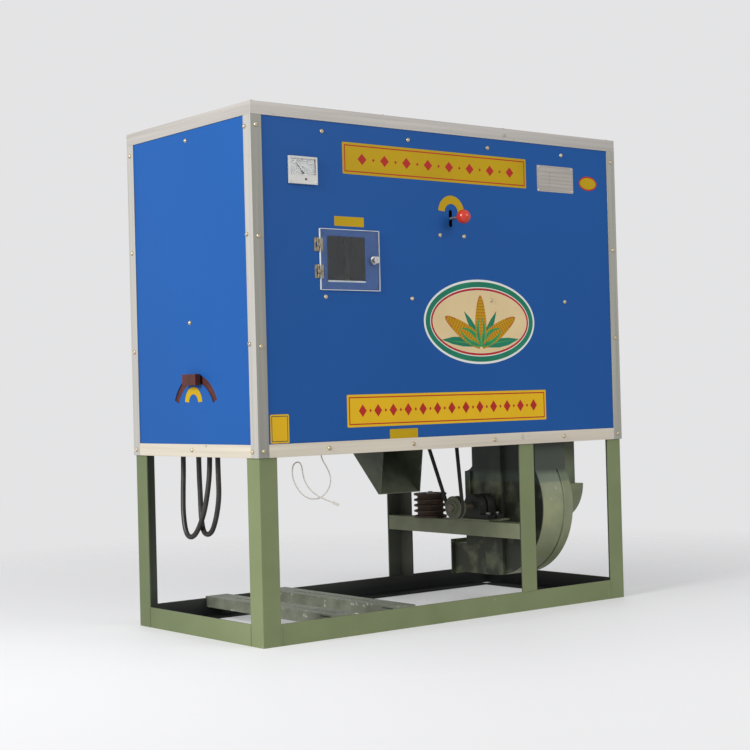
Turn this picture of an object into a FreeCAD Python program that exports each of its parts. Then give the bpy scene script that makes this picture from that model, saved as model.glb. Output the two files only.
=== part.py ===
import FreeCAD, Part
import math
import os
from FreeCAD import Vector as V

os.makedirs("parts", exist_ok=True)

# Corn dehuller: an angle-iron stand that carries a sheet-clad cabinet.
# Lengths are millimetres. Pieces are placed from the left end (x), the front
# face (y) and the floor (z), then moved so that the origin is under the middle.

# main sizes
LENGTH = 1500.0
DEPTH = 700.0
CABINET_TOP = 1560.0
CABINET_BOTTOM = 540.0
SHEET = 2.0
TRIM_T = 3.0
TRIM_W = 38.0
INSET = SHEET + TRIM_T

# angle iron of the stand and of the cabinet frame
ANGLE = 63.0
ANGLE_T = 6.0
LIGHT = 50.0
LIGHT_T = 5.0

# middle posts, crossbar and motor rails
MID_POST_X = LENGTH * 1022 / 1500
CROSSBAR_Z = 232.0
RAIL_X = (250.0, 485.0)
RAIL_W = 84.0
RAIL_LEG = 35.0
RAIL_T = 6.0
RAIL_SLOT = 14.0

# main shaft and fan shaft, both along x
ROTOR_Y = DEPTH / 2 + 50
ROTOR_Z = 860.0
FAN_Y = 255.0
FAN_Z = 330.0
SHAFT_R = 17.5
FAN_SHAFT_R = 12.5
BEARING_GAP = 0.05
BELT_X = LENGTH * 960 / 1500
BIG_PULLEY_R = 125.0
SMALL_PULLEY_R = 38.0
GROOVE_DEPTH = 10.0
BELT_TOP_W = 13.0
BELT_H = 8.0
BELT_GAP = 0.35

# dehulling chamber
CHAMBER_X0 = 250.0
CHAMBER_X1 = LENGTH * 765 / 1500
HUSK_X1 = LENGTH * 600 / 1500
CASING_R = 165.0
CASING_T = 3.0
SPOUT_Y = (ROTOR_Y - 153, ROTOR_Y - 57)
SCREEN_R = 128.0
SCREEN_T = 3.0
DRUM_R = 100.0
FLIGHT_H = 14.0

# fan casing
FAN_X0 = LENGTH * 1130 / 1500
FAN_SEAM = LENGTH * 1230 / 1500
FAN_X1 = LENGTH * 1270 / 1500
ELBOW_X1 = LENGTH * 1403 / 1500
SUCT = (FAN_X1 + 5, ELBOW_X1 - 3, 130.0, 320.0)
SCROLL_R = 240.0
FAN_SHEET = 3.0
OUTLET_TOP = 190.0
WHEEL_R = 122.0

# front panel fittings
WINDOW = (264.0, 405.0, CABINET_TOP - 508, CABINET_TOP - 376)
DOOR = (235.0, 457.0, CABINET_TOP - 536, CABINET_TOP - 355)
DOOR_T = 5.0
DOOR_GAP = 1.0
METER = (130.0, 230.0, CABINET_TOP - 229, CABINET_TOP - 149)
LEVER_X = 751.0
GATE_Z = 1038.0
LEVER_Z = GATE_Z + (CABINET_TOP - GATE_Z) * 220 / 522
LEVER_PIVOT_Y = 100.0
KNOB_Y = -58.0
KNOB_R = 22.0

# adjusting quadrant on the left side
QUAD_Y = ROTOR_Y - 69
QUAD_Z = 658.0
QUAD_SLOT_R = (105.0, 129.0)
QUAD_SLOT_HALF_DEG = 66.0
GRIP_OUT = 20.0

# feed opening in the top
FEED = (140.0, 560.0, 200.0, DEPTH - 160)

pieces = {}


def box(x0, x1, y0, y1, z0, z1):
    return Part.makeBox(x1 - x0, y1 - y0, z1 - z0, V(x0, y0, z0))


def rod(x0, x1, y, z, r):
    return Part.makeCylinder(r, x1 - x0, V(x0, y, z), V(1, 0, 0))


def pin_y(x, y0, y1, z, r):
    return Part.makeCylinder(r, y1 - y0, V(x, y0, z), V(0, 1, 0))


def pin_z(x, y, z0, z1, r):
    return Part.makeCylinder(r, z1 - z0, V(x, y, z0), V(0, 0, 1))


def prism_x(points, x0, x1):
    """Straight-sided outline in y and z, drawn out along x."""
    ring = [V(x0, y, z) for y, z in points]
    return Part.Face(Part.makePolygon(ring + ring[:1])).extrude(V(x1 - x0, 0, 0))


def prism_y(points, y0, y1):
    """Straight-sided outline in x and z, drawn out along y."""
    ring = [V(x, y0, z) for x, z in points]
    return Part.Face(Part.makePolygon(ring + ring[:1])).extrude(V(0, y1 - y0, 0))


def join(shapes):
    return shapes[0].multiFuse(shapes[1:]).removeSplitter()


def keep(name, shape):
    pieces[name] = shape


def polar(cy, cz, r, deg):
    a = math.radians(deg)
    return cy + r * math.cos(a), cz + r * math.sin(a)


# stand
X0 = INSET
X1 = LENGTH - INSET
Y0 = INSET
Y1 = DEPTH - INSET
TOP = CABINET_TOP - INSET


def post(side_x, side_y):
    """Corner post: an angle whose outer corner is the corner of the frame."""
    x_out = X0 if side_x < 0 else X1
    y_out = Y0 if side_y < 0 else Y1
    xa, xb = sorted((x_out, x_out - side_x * ANGLE))
    ya, yb = sorted((y_out, y_out - side_y * ANGLE_T))
    front = box(xa, xb, ya, yb, 0, TOP)
    xa, xb = sorted((x_out, x_out - side_x * ANGLE_T))
    ya, yb = sorted((y_out, y_out - side_y * ANGLE))
    return join([front, box(xa, xb, ya, yb, 0, TOP)])


keep("corner_post_front_left", post(-1, -1))
keep("corner_post_front_right", post(1, -1))
keep("corner_post_back_left", post(-1, 1))
keep("corner_post_back_right", post(1, 1))

xa, xb = X0 + ANGLE, X1 - ANGLE
ya, yb = Y0 + ANGLE, Y1 - ANGLE
keep("base_rail_front", join([box(xa, xb, Y0, Y0 + ANGLE_T, 0, ANGLE),
                              box(xa, xb, Y0, Y0 + ANGLE, 0, ANGLE_T)]))
keep("base_rail_back", join([box(xa, xb, Y1 - ANGLE_T, Y1, 0, ANGLE),
                             box(xa, xb, Y1 - ANGLE, Y1, 0, ANGLE_T)]))
keep("base_rail_left", join([box(X0, X0 + ANGLE_T, ya, yb, 0, ANGLE),
                             box(X0, X0 + ANGLE, ya, yb, 0, ANGLE_T)]))
keep("base_rail_right", join([box(X1 - ANGLE_T, X1, ya, yb, 0, ANGLE),
                              box(X1 - ANGLE, X1, ya, yb, 0, ANGLE_T)]))

mid_a, mid_b = MID_POST_X, MID_POST_X + ANGLE
keep("mid_post_front", join([box(mid_a, mid_b, Y0, Y0 + ANGLE_T, ANGLE, CABINET_BOTTOM),
                             box(mid_b - ANGLE_T, mid_b, Y0, ya, ANGLE, CABINET_BOTTOM)]))
keep("mid_post_back", join([box(mid_a, mid_b, Y1 - ANGLE_T, Y1, ANGLE, CABINET_BOTTOM),
                            box(mid_b - ANGLE_T, mid_b, yb, Y1, ANGLE, CABINET_BOTTOM)]))
bar_w = ANGLE - ANGLE_T - 7
keep("crossbar", join([box(mid_a, mid_a + LIGHT_T, Y0 + ANGLE_T, Y1 - ANGLE_T,
                           CROSSBAR_Z, CROSSBAR_Z + LIGHT),
                       box(mid_a, mid_a + bar_w, Y0 + ANGLE_T, Y1 - ANGLE_T,
                           CROSSBAR_Z + LIGHT - LIGHT_T, CROSSBAR_Z + LIGHT)]))


def motor_rail(x):
    """Two angles side by side on the base rails; the gap between them takes the foot bolts."""
    mid = x + RAIL_W / 2
    top_z = ANGLE + RAIL_T
    slab = box(x, x + RAIL_W, Y0, Y1, ANGLE, top_z)
    slab = slab.cut(box(mid - RAIL_SLOT / 2, mid + RAIL_SLOT / 2, Y0 + 35, Y1 - 120, ANGLE, top_z))
    legs = [box(side, side + RAIL_T, Y0 + ANGLE_T + 1, Y1 - ANGLE_T - 1, top_z - RAIL_LEG, ANGLE)
            for side in (x, x + RAIL_W - RAIL_T)]
    return join([slab] + legs)


keep("motor_rail_left", motor_rail(RAIL_X[0]))
keep("motor_rail_right", motor_rail(RAIL_X[1]))

# cabinet frame, floor and panels
zf = CABINET_BOTTOM
zt = TOP
STAND_X = (CHAMBER_X0 - 4 - LIGHT, CHAMBER_X1 + 4)
HANGER_X = FAN_X0 + 45


def ring_of_angles(z_low, z_flange):
    """Four light angles between the corner posts, flange edges inwards."""
    z_high = z_low + LIGHT
    f0, f1 = z_flange, z_flange + LIGHT_T
    return [join([box(xa, xb, Y0, Y0 + LIGHT_T, z_low, z_high), box(xa, xb, Y0, Y0 + LIGHT, f0, f1)]),
            join([box(xa, xb, Y1 - LIGHT_T, Y1, z_low, z_high), box(xa, xb, Y1 - LIGHT, Y1, f0, f1)]),
            join([box(X0, X0 + LIGHT_T, ya, yb, z_low, z_high), box(X0, X0 + LIGHT, ya, yb, f0, f1)]),
            join([box(X1 - LIGHT_T, X1, ya, yb, z_low, z_high), box(X1 - LIGHT, X1, ya, yb, f0, f1)])]


floor_bars = ring_of_angles(zf, zf)
for x in STAND_X + (HANGER_X,):
    floor_bars.append(box(x, x + LIGHT, Y0 + LIGHT, Y1 - LIGHT, zf, zf + LIGHT_T))
keep("cabinet_floor_frame", Part.makeCompound(floor_bars))
keep("cabinet_top_frame", Part.makeCompound(ring_of_angles(zt - LIGHT, zt - LIGHT_T)))

# floor sheet with the holes for belt, chute, husk duct and cables
CABLE_X = 90.0
CABLE_R = 8.0
CABLE_Y = (DEPTH - 348, DEPTH - 303, DEPTH - 240, DEPTH - 150)
WIRE_R = 2.0
WIRE_Y = 66.0
WIRE_EXIT_X = 268.0
z = zf + LIGHT_T
floor = box(X0 + ANGLE_T + 0.5, X1 - ANGLE_T - 0.5, Y0 + ANGLE_T + 0.5, Y1 - ANGLE_T - 0.5, z, z + SHEET)
for x0_ in (X0, xb - 0.5):
    for y0_ in (Y0, yb - 0.5):
        floor = floor.cut(box(x0_, x0_ + ANGLE + 0.5, y0_, y0_ + ANGLE + 0.5, z, z + SHEET))
floor = floor.cut(box(BELT_X - 22, BELT_X + 22, 180, 450, z, z + SHEET))
floor = floor.cut(box(HUSK_X1 + 7, CHAMBER_X1 - 7, *SPOUT_Y, z, z + SHEET))
floor = floor.cut(box(SUCT[0] - 3, SUCT[1] + 3, SUCT[2] - 3, SUCT[3] + 3, z, z + SHEET))
for y in CABLE_Y:
    floor = floor.cut(pin_z(CABLE_X, y, z, z + SHEET, 14))
floor = floor.cut(pin_z(WIRE_EXIT_X, WIRE_Y, z, z + SHEET, 6))
# the floor is laid in four sheets that meet across the openings, to go in round chute and belt
floor_seams = (X0, (HUSK_X1 + CHAMBER_X1) / 2, BELT_X, (SUCT[0] + SUCT[1]) / 2, X1)
floor_sheets = []
for seam_a, seam_b in zip(floor_seams, floor_seams[1:]):
    floor_sheets += floor.common(box(seam_a, seam_b, 0, DEPTH, z - 1, z + SHEET + 1)).Solids
keep("cabinet_floor_panel", Part.makeCompound(floor_sheets))

px0, px1 = TRIM_T, LENGTH - TRIM_T
py0, py1 = TRIM_T, DEPTH - TRIM_T
front = box(px0, px1, py0, Y0, zf, CABINET_TOP - TRIM_T)
front = front.cut(box(WINDOW[0], WINDOW[1], py0, Y0, WINDOW[2], WINDOW[3]))
slot = box(LEVER_X - 7, LEVER_X + 7, py0, Y0, LEVER_Z - 20, LEVER_Z + 20)
slot = slot.fuse([pin_y(LEVER_X, py0, Y0, LEVER_Z - 20, 7), pin_y(LEVER_X, py0, Y0, LEVER_Z + 20, 7)])
front = front.cut(slot)
meter_mid = ((METER[0] + METER[1]) / 2, (METER[2] + METER[3]) / 2)
front = front.cut(pin_y(meter_mid[0], py0, Y0, meter_mid[1], 32))
keep("front_panel", front)
back = box(px0, px1, Y1, py1, zf, CABINET_TOP - TRIM_T)
keep("back_panel", back)


def ring_sector(x0, x1, cy, cz, r0, r1, deg0, deg1):
    """Flat ring sector square to x, with square ends."""
    a = [V(x0, *polar(cy, cz, r1, d)) for d in (deg0, (deg0 + deg1) / 2, deg1)]
    b = [V(x0, *polar(cy, cz, r0, d)) for d in (deg1, (deg0 + deg1) / 2, deg0)]
    wire = [Part.Arc(*a).toShape(), Part.makeLine(a[2], b[0]),
            Part.Arc(*b).toShape(), Part.makeLine(b[2], a[0])]
    return Part.Face(Part.Wire(wire)).extrude(V(x1 - x0, 0, 0))


left = box(px0, X0, Y0, Y1, zf, CABINET_TOP - TRIM_T)
left = left.cut(ring_sector(px0, X0, QUAD_Y, QUAD_Z, QUAD_SLOT_R[0], QUAD_SLOT_R[1],
                            90 - QUAD_SLOT_HALF_DEG, 90 + QUAD_SLOT_HALF_DEG))
keep("left_panel", left)
keep("right_panel", box(X1, px1, Y0, Y1, zf, CABINET_TOP - TRIM_T))
roof = box(X0, X1, Y0, Y1, TOP, TOP + SHEET)
roof = roof.cut(box(FEED[0], FEED[1], FEED[2], FEED[3], TOP, TOP + SHEET))
keep("roof_panel", roof)

# aluminium trims
zc = CABINET_TOP


def upright_trim(side_x, side_y):
    x_out = 0.0 if side_x < 0 else LENGTH
    y_out = 0.0 if side_y < 0 else DEPTH
    z0, z1 = zf, zc - TRIM_W
    xa_, xb_ = sorted((x_out, x_out - side_x * TRIM_W))
    ya_, yb_ = sorted((y_out, y_out - side_y * TRIM_T))
    one = box(xa_, xb_, ya_, yb_, z0, z1)
    xa_, xb_ = sorted((x_out, x_out - side_x * TRIM_T))
    ya_, yb_ = sorted((y_out, y_out - side_y * TRIM_W))
    return join([one, box(xa_, xb_, ya_, yb_, z0, z1)])


keep("corner_trim_front_left", upright_trim(-1, -1))
keep("corner_trim_front_right", upright_trim(1, -1))
keep("corner_trim_back_left", upright_trim(-1, 1))
keep("corner_trim_back_right", upright_trim(1, 1))

ring = box(0, LENGTH, 0, DEPTH, zc - TRIM_W, zc)
ring = ring.cut(box(TRIM_T, LENGTH - TRIM_T, TRIM_T, DEPTH - TRIM_T, zc - TRIM_W, zc - TRIM_T))
ring = ring.cut(box(TRIM_W, LENGTH - TRIM_W, TRIM_W, DEPTH - TRIM_W, zc - TRIM_T, zc))
keep("top_trim", ring)
w = TRIM_W
keep("bottom_trim_front", box(w, LENGTH - w, 0, TRIM_T, zf, zf + w))
keep("bottom_trim_back", box(w, LENGTH - w, DEPTH - TRIM_T, DEPTH, zf, zf + w))
keep("bottom_trim_left", box(0, TRIM_T, w, DEPTH - w, zf, zf + w))
keep("bottom_trim_right", box(LENGTH - TRIM_T, LENGTH, w, DEPTH - w, zf, zf + w))

# hopper, feed gate and lid
THROAT = (293.0, 377.0, ROTOR_Y - 42, ROTOR_Y + 42)


tx0, tx1, ty0, ty1 = THROAT
g = 2.0
NECK_Z = TOP - LIGHT_T - 145
FX0, FX1, FY0, FY1 = FEED


def tapered_wall(low_ring, high_ring):
    """One flat wall of the hopper between its lower and its upper edge."""
    low_wire = Part.makePolygon([V(x, y, GATE_Z + 10) for x, y in low_ring + low_ring[:1]])
    high_wire = Part.makePolygon([V(x, y, NECK_Z) for x, y in high_ring + high_ring[:1]])
    return Part.makeLoft([low_wire, high_wire], True, True)


def wall_rings(x0, x1, y0, y1, thick):
    """Plans of the left, right, front and back wall round an opening, mitred at the corners."""
    a, b, c, d = x0 - thick, x1 + thick, y0 - thick, y1 + thick
    return (((a, c), (x0, y0), (x0, y1), (a, d)), ((b, c), (b, d), (x1, y1), (x1, y0)),
            ((a, c), (b, c), (x1, y0), (x0, y0)), ((a, d), (x0, y1), (x1, y1), (b, d)))


hopper = [tapered_wall(low_ring, high_ring) for low_ring, high_ring in
          zip(wall_rings(tx0, tx1, ty0, ty1, g), wall_rings(FX0, FX1, FY0, FY1, g))]
for ring_points in wall_rings(FX0, FX1, FY0, FY1, g):
    plan = Part.Face(Part.makePolygon([V(x, y, NECK_Z) for x, y in ring_points + ring_points[:1]]))
    hopper.append(plan.extrude(V(0, 0, TOP - NECK_Z)))
keep("feed_hopper", Part.makeCompound(hopper))

# guide under the hopper, the gate sliding in it, and the spout below
guide = box(tx0 - 12, tx1 + 12, ty0 - 12, ty1 + 12, GATE_Z - 8, GATE_Z + 10)
guide = guide.cut(box(tx0, tx1, ty0, ty1, GATE_Z - 8, GATE_Z + 10))
guide = guide.cut(box(tx0 - 4.4, tx1 + 4.4, ty0 - 12, ty1 + 1.0, GATE_Z - 0.4, GATE_Z + 4.4))
spout = box(tx0 - 2, tx1 + 2, ty0 - 2, ty1 + 2, ROTOR_Z + CASING_R - 20, GATE_Z - 8)
spout = spout.cut(box(tx0, tx1, ty0, ty1, ROTOR_Z + CASING_R - 20, GATE_Z - 8))
spout = spout.cut(rod(tx0 - 3, tx1 + 3, ROTOR_Y, ROTOR_Z, CASING_R))
keep("gate_guide_spout", join([guide, spout]))

CRANK_X = 410.0
gate = box(tx0 - 4, tx1 + 4, ty0 - 90, ROTOR_Y, GATE_Z, GATE_Z + 4)
gate = gate.fuse([box(tx1 - 6, CRANK_X - 4.4, LEVER_PIVOT_Y + 12, ty0 - 90, GATE_Z, GATE_Z + 4),
                  box(tx1 - 6, tx1 + 4, ty0 - 90, ty0 - 60, GATE_Z, GATE_Z + 4),
                  box(CRANK_X - 10, CRANK_X - 4.4, LEVER_PIVOT_Y - 13, LEVER_PIVOT_Y + 13,
                      GATE_Z - 16, GATE_Z + 30)])
gate = gate.cut(box(CRANK_X - 10, CRANK_X, LEVER_PIVOT_Y - 6.2, LEVER_PIVOT_Y + 6.2,
                    GATE_Z - 6, GATE_Z + 20))
keep("feed_gate", gate.removeSplitter())

lever_len = LEVER_PIVOT_Y - KNOB_Y
shaft = rod(CRANK_X - 4, LEVER_X + 18, LEVER_PIVOT_Y, LEVER_Z, 8)
crank = box(CRANK_X - 4, CRANK_X + 4, LEVER_PIVOT_Y - 9, LEVER_PIVOT_Y + 9, GATE_Z - 4, LEVER_Z)
pin = rod(CRANK_X - 12, CRANK_X, LEVER_PIVOT_Y, GATE_Z + 2, 5)
keep("feed_rock_shaft", join([shaft, crank, pin]))
arm = Part.makeCylinder(5, lever_len - 26, V(LEVER_X, LEVER_PIVOT_Y - 8, LEVER_Z), V(0, -1, 0))
boss = rod(LEVER_X - 12, LEVER_X + 12, LEVER_PIVOT_Y, LEVER_Z, 15)
arm = join([boss, arm]).cut(rod(LEVER_X - 13, LEVER_X + 13, LEVER_PIVOT_Y, LEVER_Z, 8))
keep("feed_lever_arm", arm)
knob = Part.makeSphere(KNOB_R, V(LEVER_X, KNOB_Y, LEVER_Z))
knob = knob.fuse(pin_y(LEVER_X, KNOB_Y, KNOB_Y + KNOB_R + 2, LEVER_Z, 9))
knob = knob.cut(pin_y(LEVER_X, LEVER_PIVOT_Y - 8 - (lever_len - 26), KNOB_Y + KNOB_R + 3, LEVER_Z, 5))
keep("feed_lever_knob", knob)
for tag, x in (("left", 440.0), ("right", 690.0)):
    lug = box(x, x + 10, Y0, LEVER_PIVOT_Y + 16, LEVER_Z - 16, LEVER_Z + 16)
    lug = lug.fuse(box(x - 15, x + 25, Y0, Y0 + 4, LEVER_Z - 25, LEVER_Z + 25))
    lug = lug.cut(rod(x, x + 10, LEVER_PIVOT_Y, LEVER_Z, 8 + BEARING_GAP))
    keep("rock_shaft_bracket_" + tag, lug.removeSplitter())

# lid over the feed opening, hinged along its back edge
lid_y1 = FEED[3] + 22
LID_Z = CABINET_TOP + 0.5
lid = box(FEED[0] - 15, FEED[1] + 15, FEED[2] - 15, lid_y1, LID_Z, LID_Z + 2)
lid = lid.fuse([box(FEED[0] + 60, FEED[0] + 72, FEED[2] - 5, FEED[2] + 25, LID_Z + 2, LID_Z + 10),
                box(FEED[1] - 72, FEED[1] - 60, FEED[2] - 5, FEED[2] + 25, LID_Z + 2, LID_Z + 10),
                box(FEED[0] + 60, FEED[1] - 60, FEED[2] - 5, FEED[2] + 7, LID_Z + 6, LID_Z + 10)])
lid_pin = (lid_y1 + 6, LID_Z + 5)
rim = []
for ring_points in wall_rings(FX0, FX1, FY0, FY1, 15.0):
    plan = Part.Face(Part.makePolygon([V(x, y, TOP + SHEET) for x, y in ring_points + ring_points[:1]]))
    rim.append(plan.extrude(V(0, 0, LID_Z - 0.3 - TOP - SHEET)))
hinge_fixed = []
hinge_lid = []
for x in (FEED[0] + 20, FEED[1] - 80):
    for k in range(3):
        k0, k1 = x + 20 * k + 0.3, x + 20 * k + 19.7
        barrel = rod(k0, k1, lid_pin[0], lid_pin[1], 4.5)
        if k == 1:
            leaf = box(k0, k1, lid_y1 - 12, lid_pin[0], LID_Z + 2, LID_Z + 4)
            hinge_lid.append(barrel.fuse(leaf).cut(rod(k0, k1, *lid_pin, 2.5 + BEARING_GAP)))
        else:
            leaf = box(k0, k1, lid_pin[0], lid_pin[0] + 30, TOP + SHEET, LID_Z + 1.5)
            leaf = leaf.fuse(box(k0, k1, lid_pin[0], lid_pin[0] + 4.5, TOP + SHEET, lid_pin[1]))
            hinge_fixed.append(barrel.fuse(leaf).cut(rod(k0, k1, *lid_pin, 2.5)))
    hinge_fixed.append(rod(x + 0.3, x + 59.7, lid_pin[0], lid_pin[1], 2.5))
keep("feed_lid", join([lid] + hinge_lid))
keep("feed_lid_rim", Part.makeCompound(rim))
keep("feed_lid_hinges", Part.makeCompound([join(hinge_fixed[:3]), join(hinge_fixed[3:])]))

# dehulling chamber, rotor and its bearings
cx0, cx1 = CHAMBER_X0, CHAMBER_X1
shell = rod(cx0, cx1, ROTOR_Y, ROTOR_Z, CASING_R).cut(rod(cx0, cx1, ROTOR_Y, ROTOR_Z, CASING_R - CASING_T))
reach = CASING_R + 35
half = box(cx0, cx1, ROTOR_Y - reach, ROTOR_Y + reach, ROTOR_Z, ROTOR_Z + reach)
upper = shell.common(half).cut(box(tx0, tx1, ty0, ty1, ROTOR_Z, ROTOR_Z + reach))
for y in (ROTOR_Y - CASING_R - 20, ROTOR_Y + CASING_R - 1):
    upper = upper.fuse(box(cx0, cx1, y, y + 21, ROTOR_Z, ROTOR_Z + 3))
keep("chamber_casing_upper", upper.removeSplitter())
lower = shell.cut(half)
for y in (ROTOR_Y - CASING_R - 20, ROTOR_Y + CASING_R - 1):
    lower = lower.fuse(box(cx0, cx1, y, y + 21, ROTOR_Z - 3, ROTOR_Z))
tube = box(HUSK_X1 + 5, cx1 - 5, SPOUT_Y[0] - 2, SPOUT_Y[1] + 2, zf + LIGHT_T + SHEET, ROTOR_Z - 40)
tube = tube.cut(rod(HUSK_X1, cx1, ROTOR_Y, ROTOR_Z, CASING_R - 1))
lower = lower.fuse(tube).cut(box(HUSK_X1 + 7, cx1 - 7, SPOUT_Y[0], SPOUT_Y[1], zf, ROTOR_Z - 40))
ADJ_R = 10.0
lower = lower.cut(rod(HUSK_X1, cx1 + 5, QUAD_Y, QUAD_Z, ADJ_R + BEARING_GAP))
DUCT_Y = (70.0, 175.0)
DUCT_Z = (610.0, 717.0)
hood_out = prism_x([(ROTOR_Y - CASING_R + 1, ROTOR_Z - 15), (DUCT_Y[0] - 2, DUCT_Z[1]),
                    (DUCT_Y[1] + 2, DUCT_Z[1]), (ROTOR_Y - 100, ROTOR_Z - 126)], cx0, HUSK_X1)
hood_in = prism_x([(ROTOR_Y - CASING_R + 1, ROTOR_Z - 18), (DUCT_Y[0] + 2, DUCT_Z[1]),
                   (DUCT_Y[1] - 2, DUCT_Z[1]), (ROTOR_Y - 100, ROTOR_Z - 123.5)], cx0 + 2, HUSK_X1 - 2)
core = rod(cx0, cx1, ROTOR_Y, ROTOR_Z, CASING_R - 1)
lower = lower.fuse(hood_out.cut(core)).cut(hood_in.cut(rod(cx0, cx1, ROTOR_Y, ROTOR_Z, CASING_R - 60)))
keep("chamber_casing_lower", lower.removeSplitter())
for tag, x in (("left", cx0 - 4), ("right", cx1)):
    disc = rod(x, x + 4, ROTOR_Y, ROTOR_Z, CASING_R).cut(rod(x, x + 4, ROTOR_Y, ROTOR_Z, SHAFT_R + 3))
    keep("chamber_end_plate_" + tag, disc)

screen = rod(cx0 + 5, HUSK_X1, ROTOR_Y, ROTOR_Z, SCREEN_R)
screen = screen.cut(rod(cx0 + 5, HUSK_X1, ROTOR_Y, ROTOR_Z, SCREEN_R - SCREEN_T))
for k in range(3):
    a = math.radians(180 + 45 + 45 * k)
    cut = box(cx0 + 40, HUSK_X1 - 40, -7, 7, 0, SCREEN_R + 10)
    cut.rotate(V(0, 0, 0), V(1, 0, 0), math.degrees(a) - 90)
    cut.translate(V(0, ROTOR_Y, ROTOR_Z))
    screen = screen.cut(cut)
screen = screen.cut(box(tx0, tx1, ty0, ty1, ROTOR_Z, ROTOR_Z + SCREEN_R + 5))
flange = rod(HUSK_X1, HUSK_X1 + 4, ROTOR_Y, ROTOR_Z, CASING_R - CASING_T)
flange = flange.cut(rod(HUSK_X1, HUSK_X1 + 4, ROTOR_Y, ROTOR_Z, SCREEN_R - SCREEN_T))
ring_l = rod(cx0, cx0 + 5, ROTOR_Y, ROTOR_Z, CASING_R - CASING_T)
ring_l = ring_l.cut(rod(cx0, cx0 + 5, ROTOR_Y, ROTOR_Z, SCREEN_R - SCREEN_T))
keep("screen_drum", join([screen, flange, ring_l]))

keep("main_shaft", rod(STAND_X[0] - 26, BELT_X + 30, ROTOR_Y, ROTOR_Z, SHAFT_R))
drum = rod(cx0 + 15, cx1 - 20, ROTOR_Y, ROTOR_Z, DRUM_R)
flights = []
for k in range(6):
    f = box(cx0 + 15, cx1 - 20, -5, 5, DRUM_R - 5, DRUM_R + FLIGHT_H)
    f.rotate(V(0, 0, 0), V(1, 0, 0), 60 * k)
    f.translate(V(0, ROTOR_Y, ROTOR_Z))
    flights.append(f)
drum = drum.fuse(flights).cut(rod(cx0, cx1, ROTOR_Y, ROTOR_Z, SHAFT_R))
keep("dehulling_rotor", drum.removeSplitter())


def groove_ring(x, y, z, r):
    """Belt groove cut round a pulley rim."""
    half_top = BELT_TOP_W / 2 + BELT_GAP + 0.4
    half_low = half_top - GROOVE_DEPTH * 0.32
    pts = [V(x - half_top, y, z + r + 0.01), V(x + half_top, y, z + r + 0.01),
           V(x + half_low, y, z + r - GROOVE_DEPTH), V(x - half_low, y, z + r - GROOVE_DEPTH)]
    face = Part.Face(Part.makePolygon(pts + pts[:1]))
    return face.revolve(V(x, y, z), V(1, 0, 0), 360)


big = rod(BELT_X - 11, BELT_X + 11, ROTOR_Y, ROTOR_Z, BIG_PULLEY_R)
big = big.cut(groove_ring(BELT_X, ROTOR_Y, ROTOR_Z, BIG_PULLEY_R))
for s in (BELT_X - 11, BELT_X + 5):
    recess = rod(s, s + 6, ROTOR_Y, ROTOR_Z, BIG_PULLEY_R - 24).cut(rod(s, s + 6, ROTOR_Y, ROTOR_Z, 34))
    big = big.cut(recess)
for k in range(5):
    y, z = polar(ROTOR_Y, ROTOR_Z, 68, 72 * k + 18)
    big = big.cut(rod(BELT_X - 12, BELT_X + 12, y, z, 20))
big = big.fuse(rod(BELT_X - 22, BELT_X + 22, ROTOR_Y, ROTOR_Z, 32))
big = big.cut(rod(BELT_X - 23, BELT_X + 23, ROTOR_Y, ROTOR_Z, SHAFT_R))
keep("main_pulley", big.removeSplitter())


def pillow_block(x, y, z, width, half_len, shaft_r, base_z):
    """Cast bearing block: foot, rounded body, shaft bore and foot bolt holes."""
    x0_, x1_ = x - width / 2, x + width / 2
    foot = box(x0_, x1_, y - half_len, y + half_len, base_z, base_z + 14)
    body = rod(x0_, x1_, y, z, half_len * 0.48)
    web = box(x0_, x1_, y - half_len * 0.48, y + half_len * 0.48, base_z, z)
    block = foot.fuse([body, web])
    for s in (-1, 1):
        block = block.cut(pin_z(x, y + s * half_len * 0.78, base_z, base_z + 14, 6))
    return block.cut(rod(x0_, x1_, y, z, shaft_r + BEARING_GAP)).removeSplitter()


BLOCK_Z = ROTOR_Z - 48
leg_y = QUAD_Y - 81
for tag, x in (("left", STAND_X[0]), ("right", STAND_X[1])):
    keep("main_bearing_" + tag, pillow_block(x + 25, ROTOR_Y, ROTOR_Z, 42, 83, SHAFT_R, BLOCK_Z))
    z0_ = zf + LIGHT_T + SHEET
    legs = []
    for y in (leg_y, ROTOR_Y + 100):
        legs.append(box(x, x + LIGHT_T, y, y + LIGHT, z0_, BLOCK_Z - LIGHT_T))
        yy = y if y < ROTOR_Y else y + LIGHT - LIGHT_T
        legs.append(box(x, x + LIGHT, yy, yy + LIGHT_T, z0_, BLOCK_Z - LIGHT_T))
        legs.append(box(x, x + LIGHT, y, y + LIGHT, z0_, z0_ + 6))
    legs.append(box(x, x + LIGHT, leg_y, ROTOR_Y + 150, BLOCK_Z - LIGHT_T, BLOCK_Z))
    legs.append(box(x, x + LIGHT_T, leg_y, ROTOR_Y + 150, BLOCK_Z - LIGHT, BLOCK_Z))
    keep("bearing_stand_" + tag, join(legs))

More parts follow.
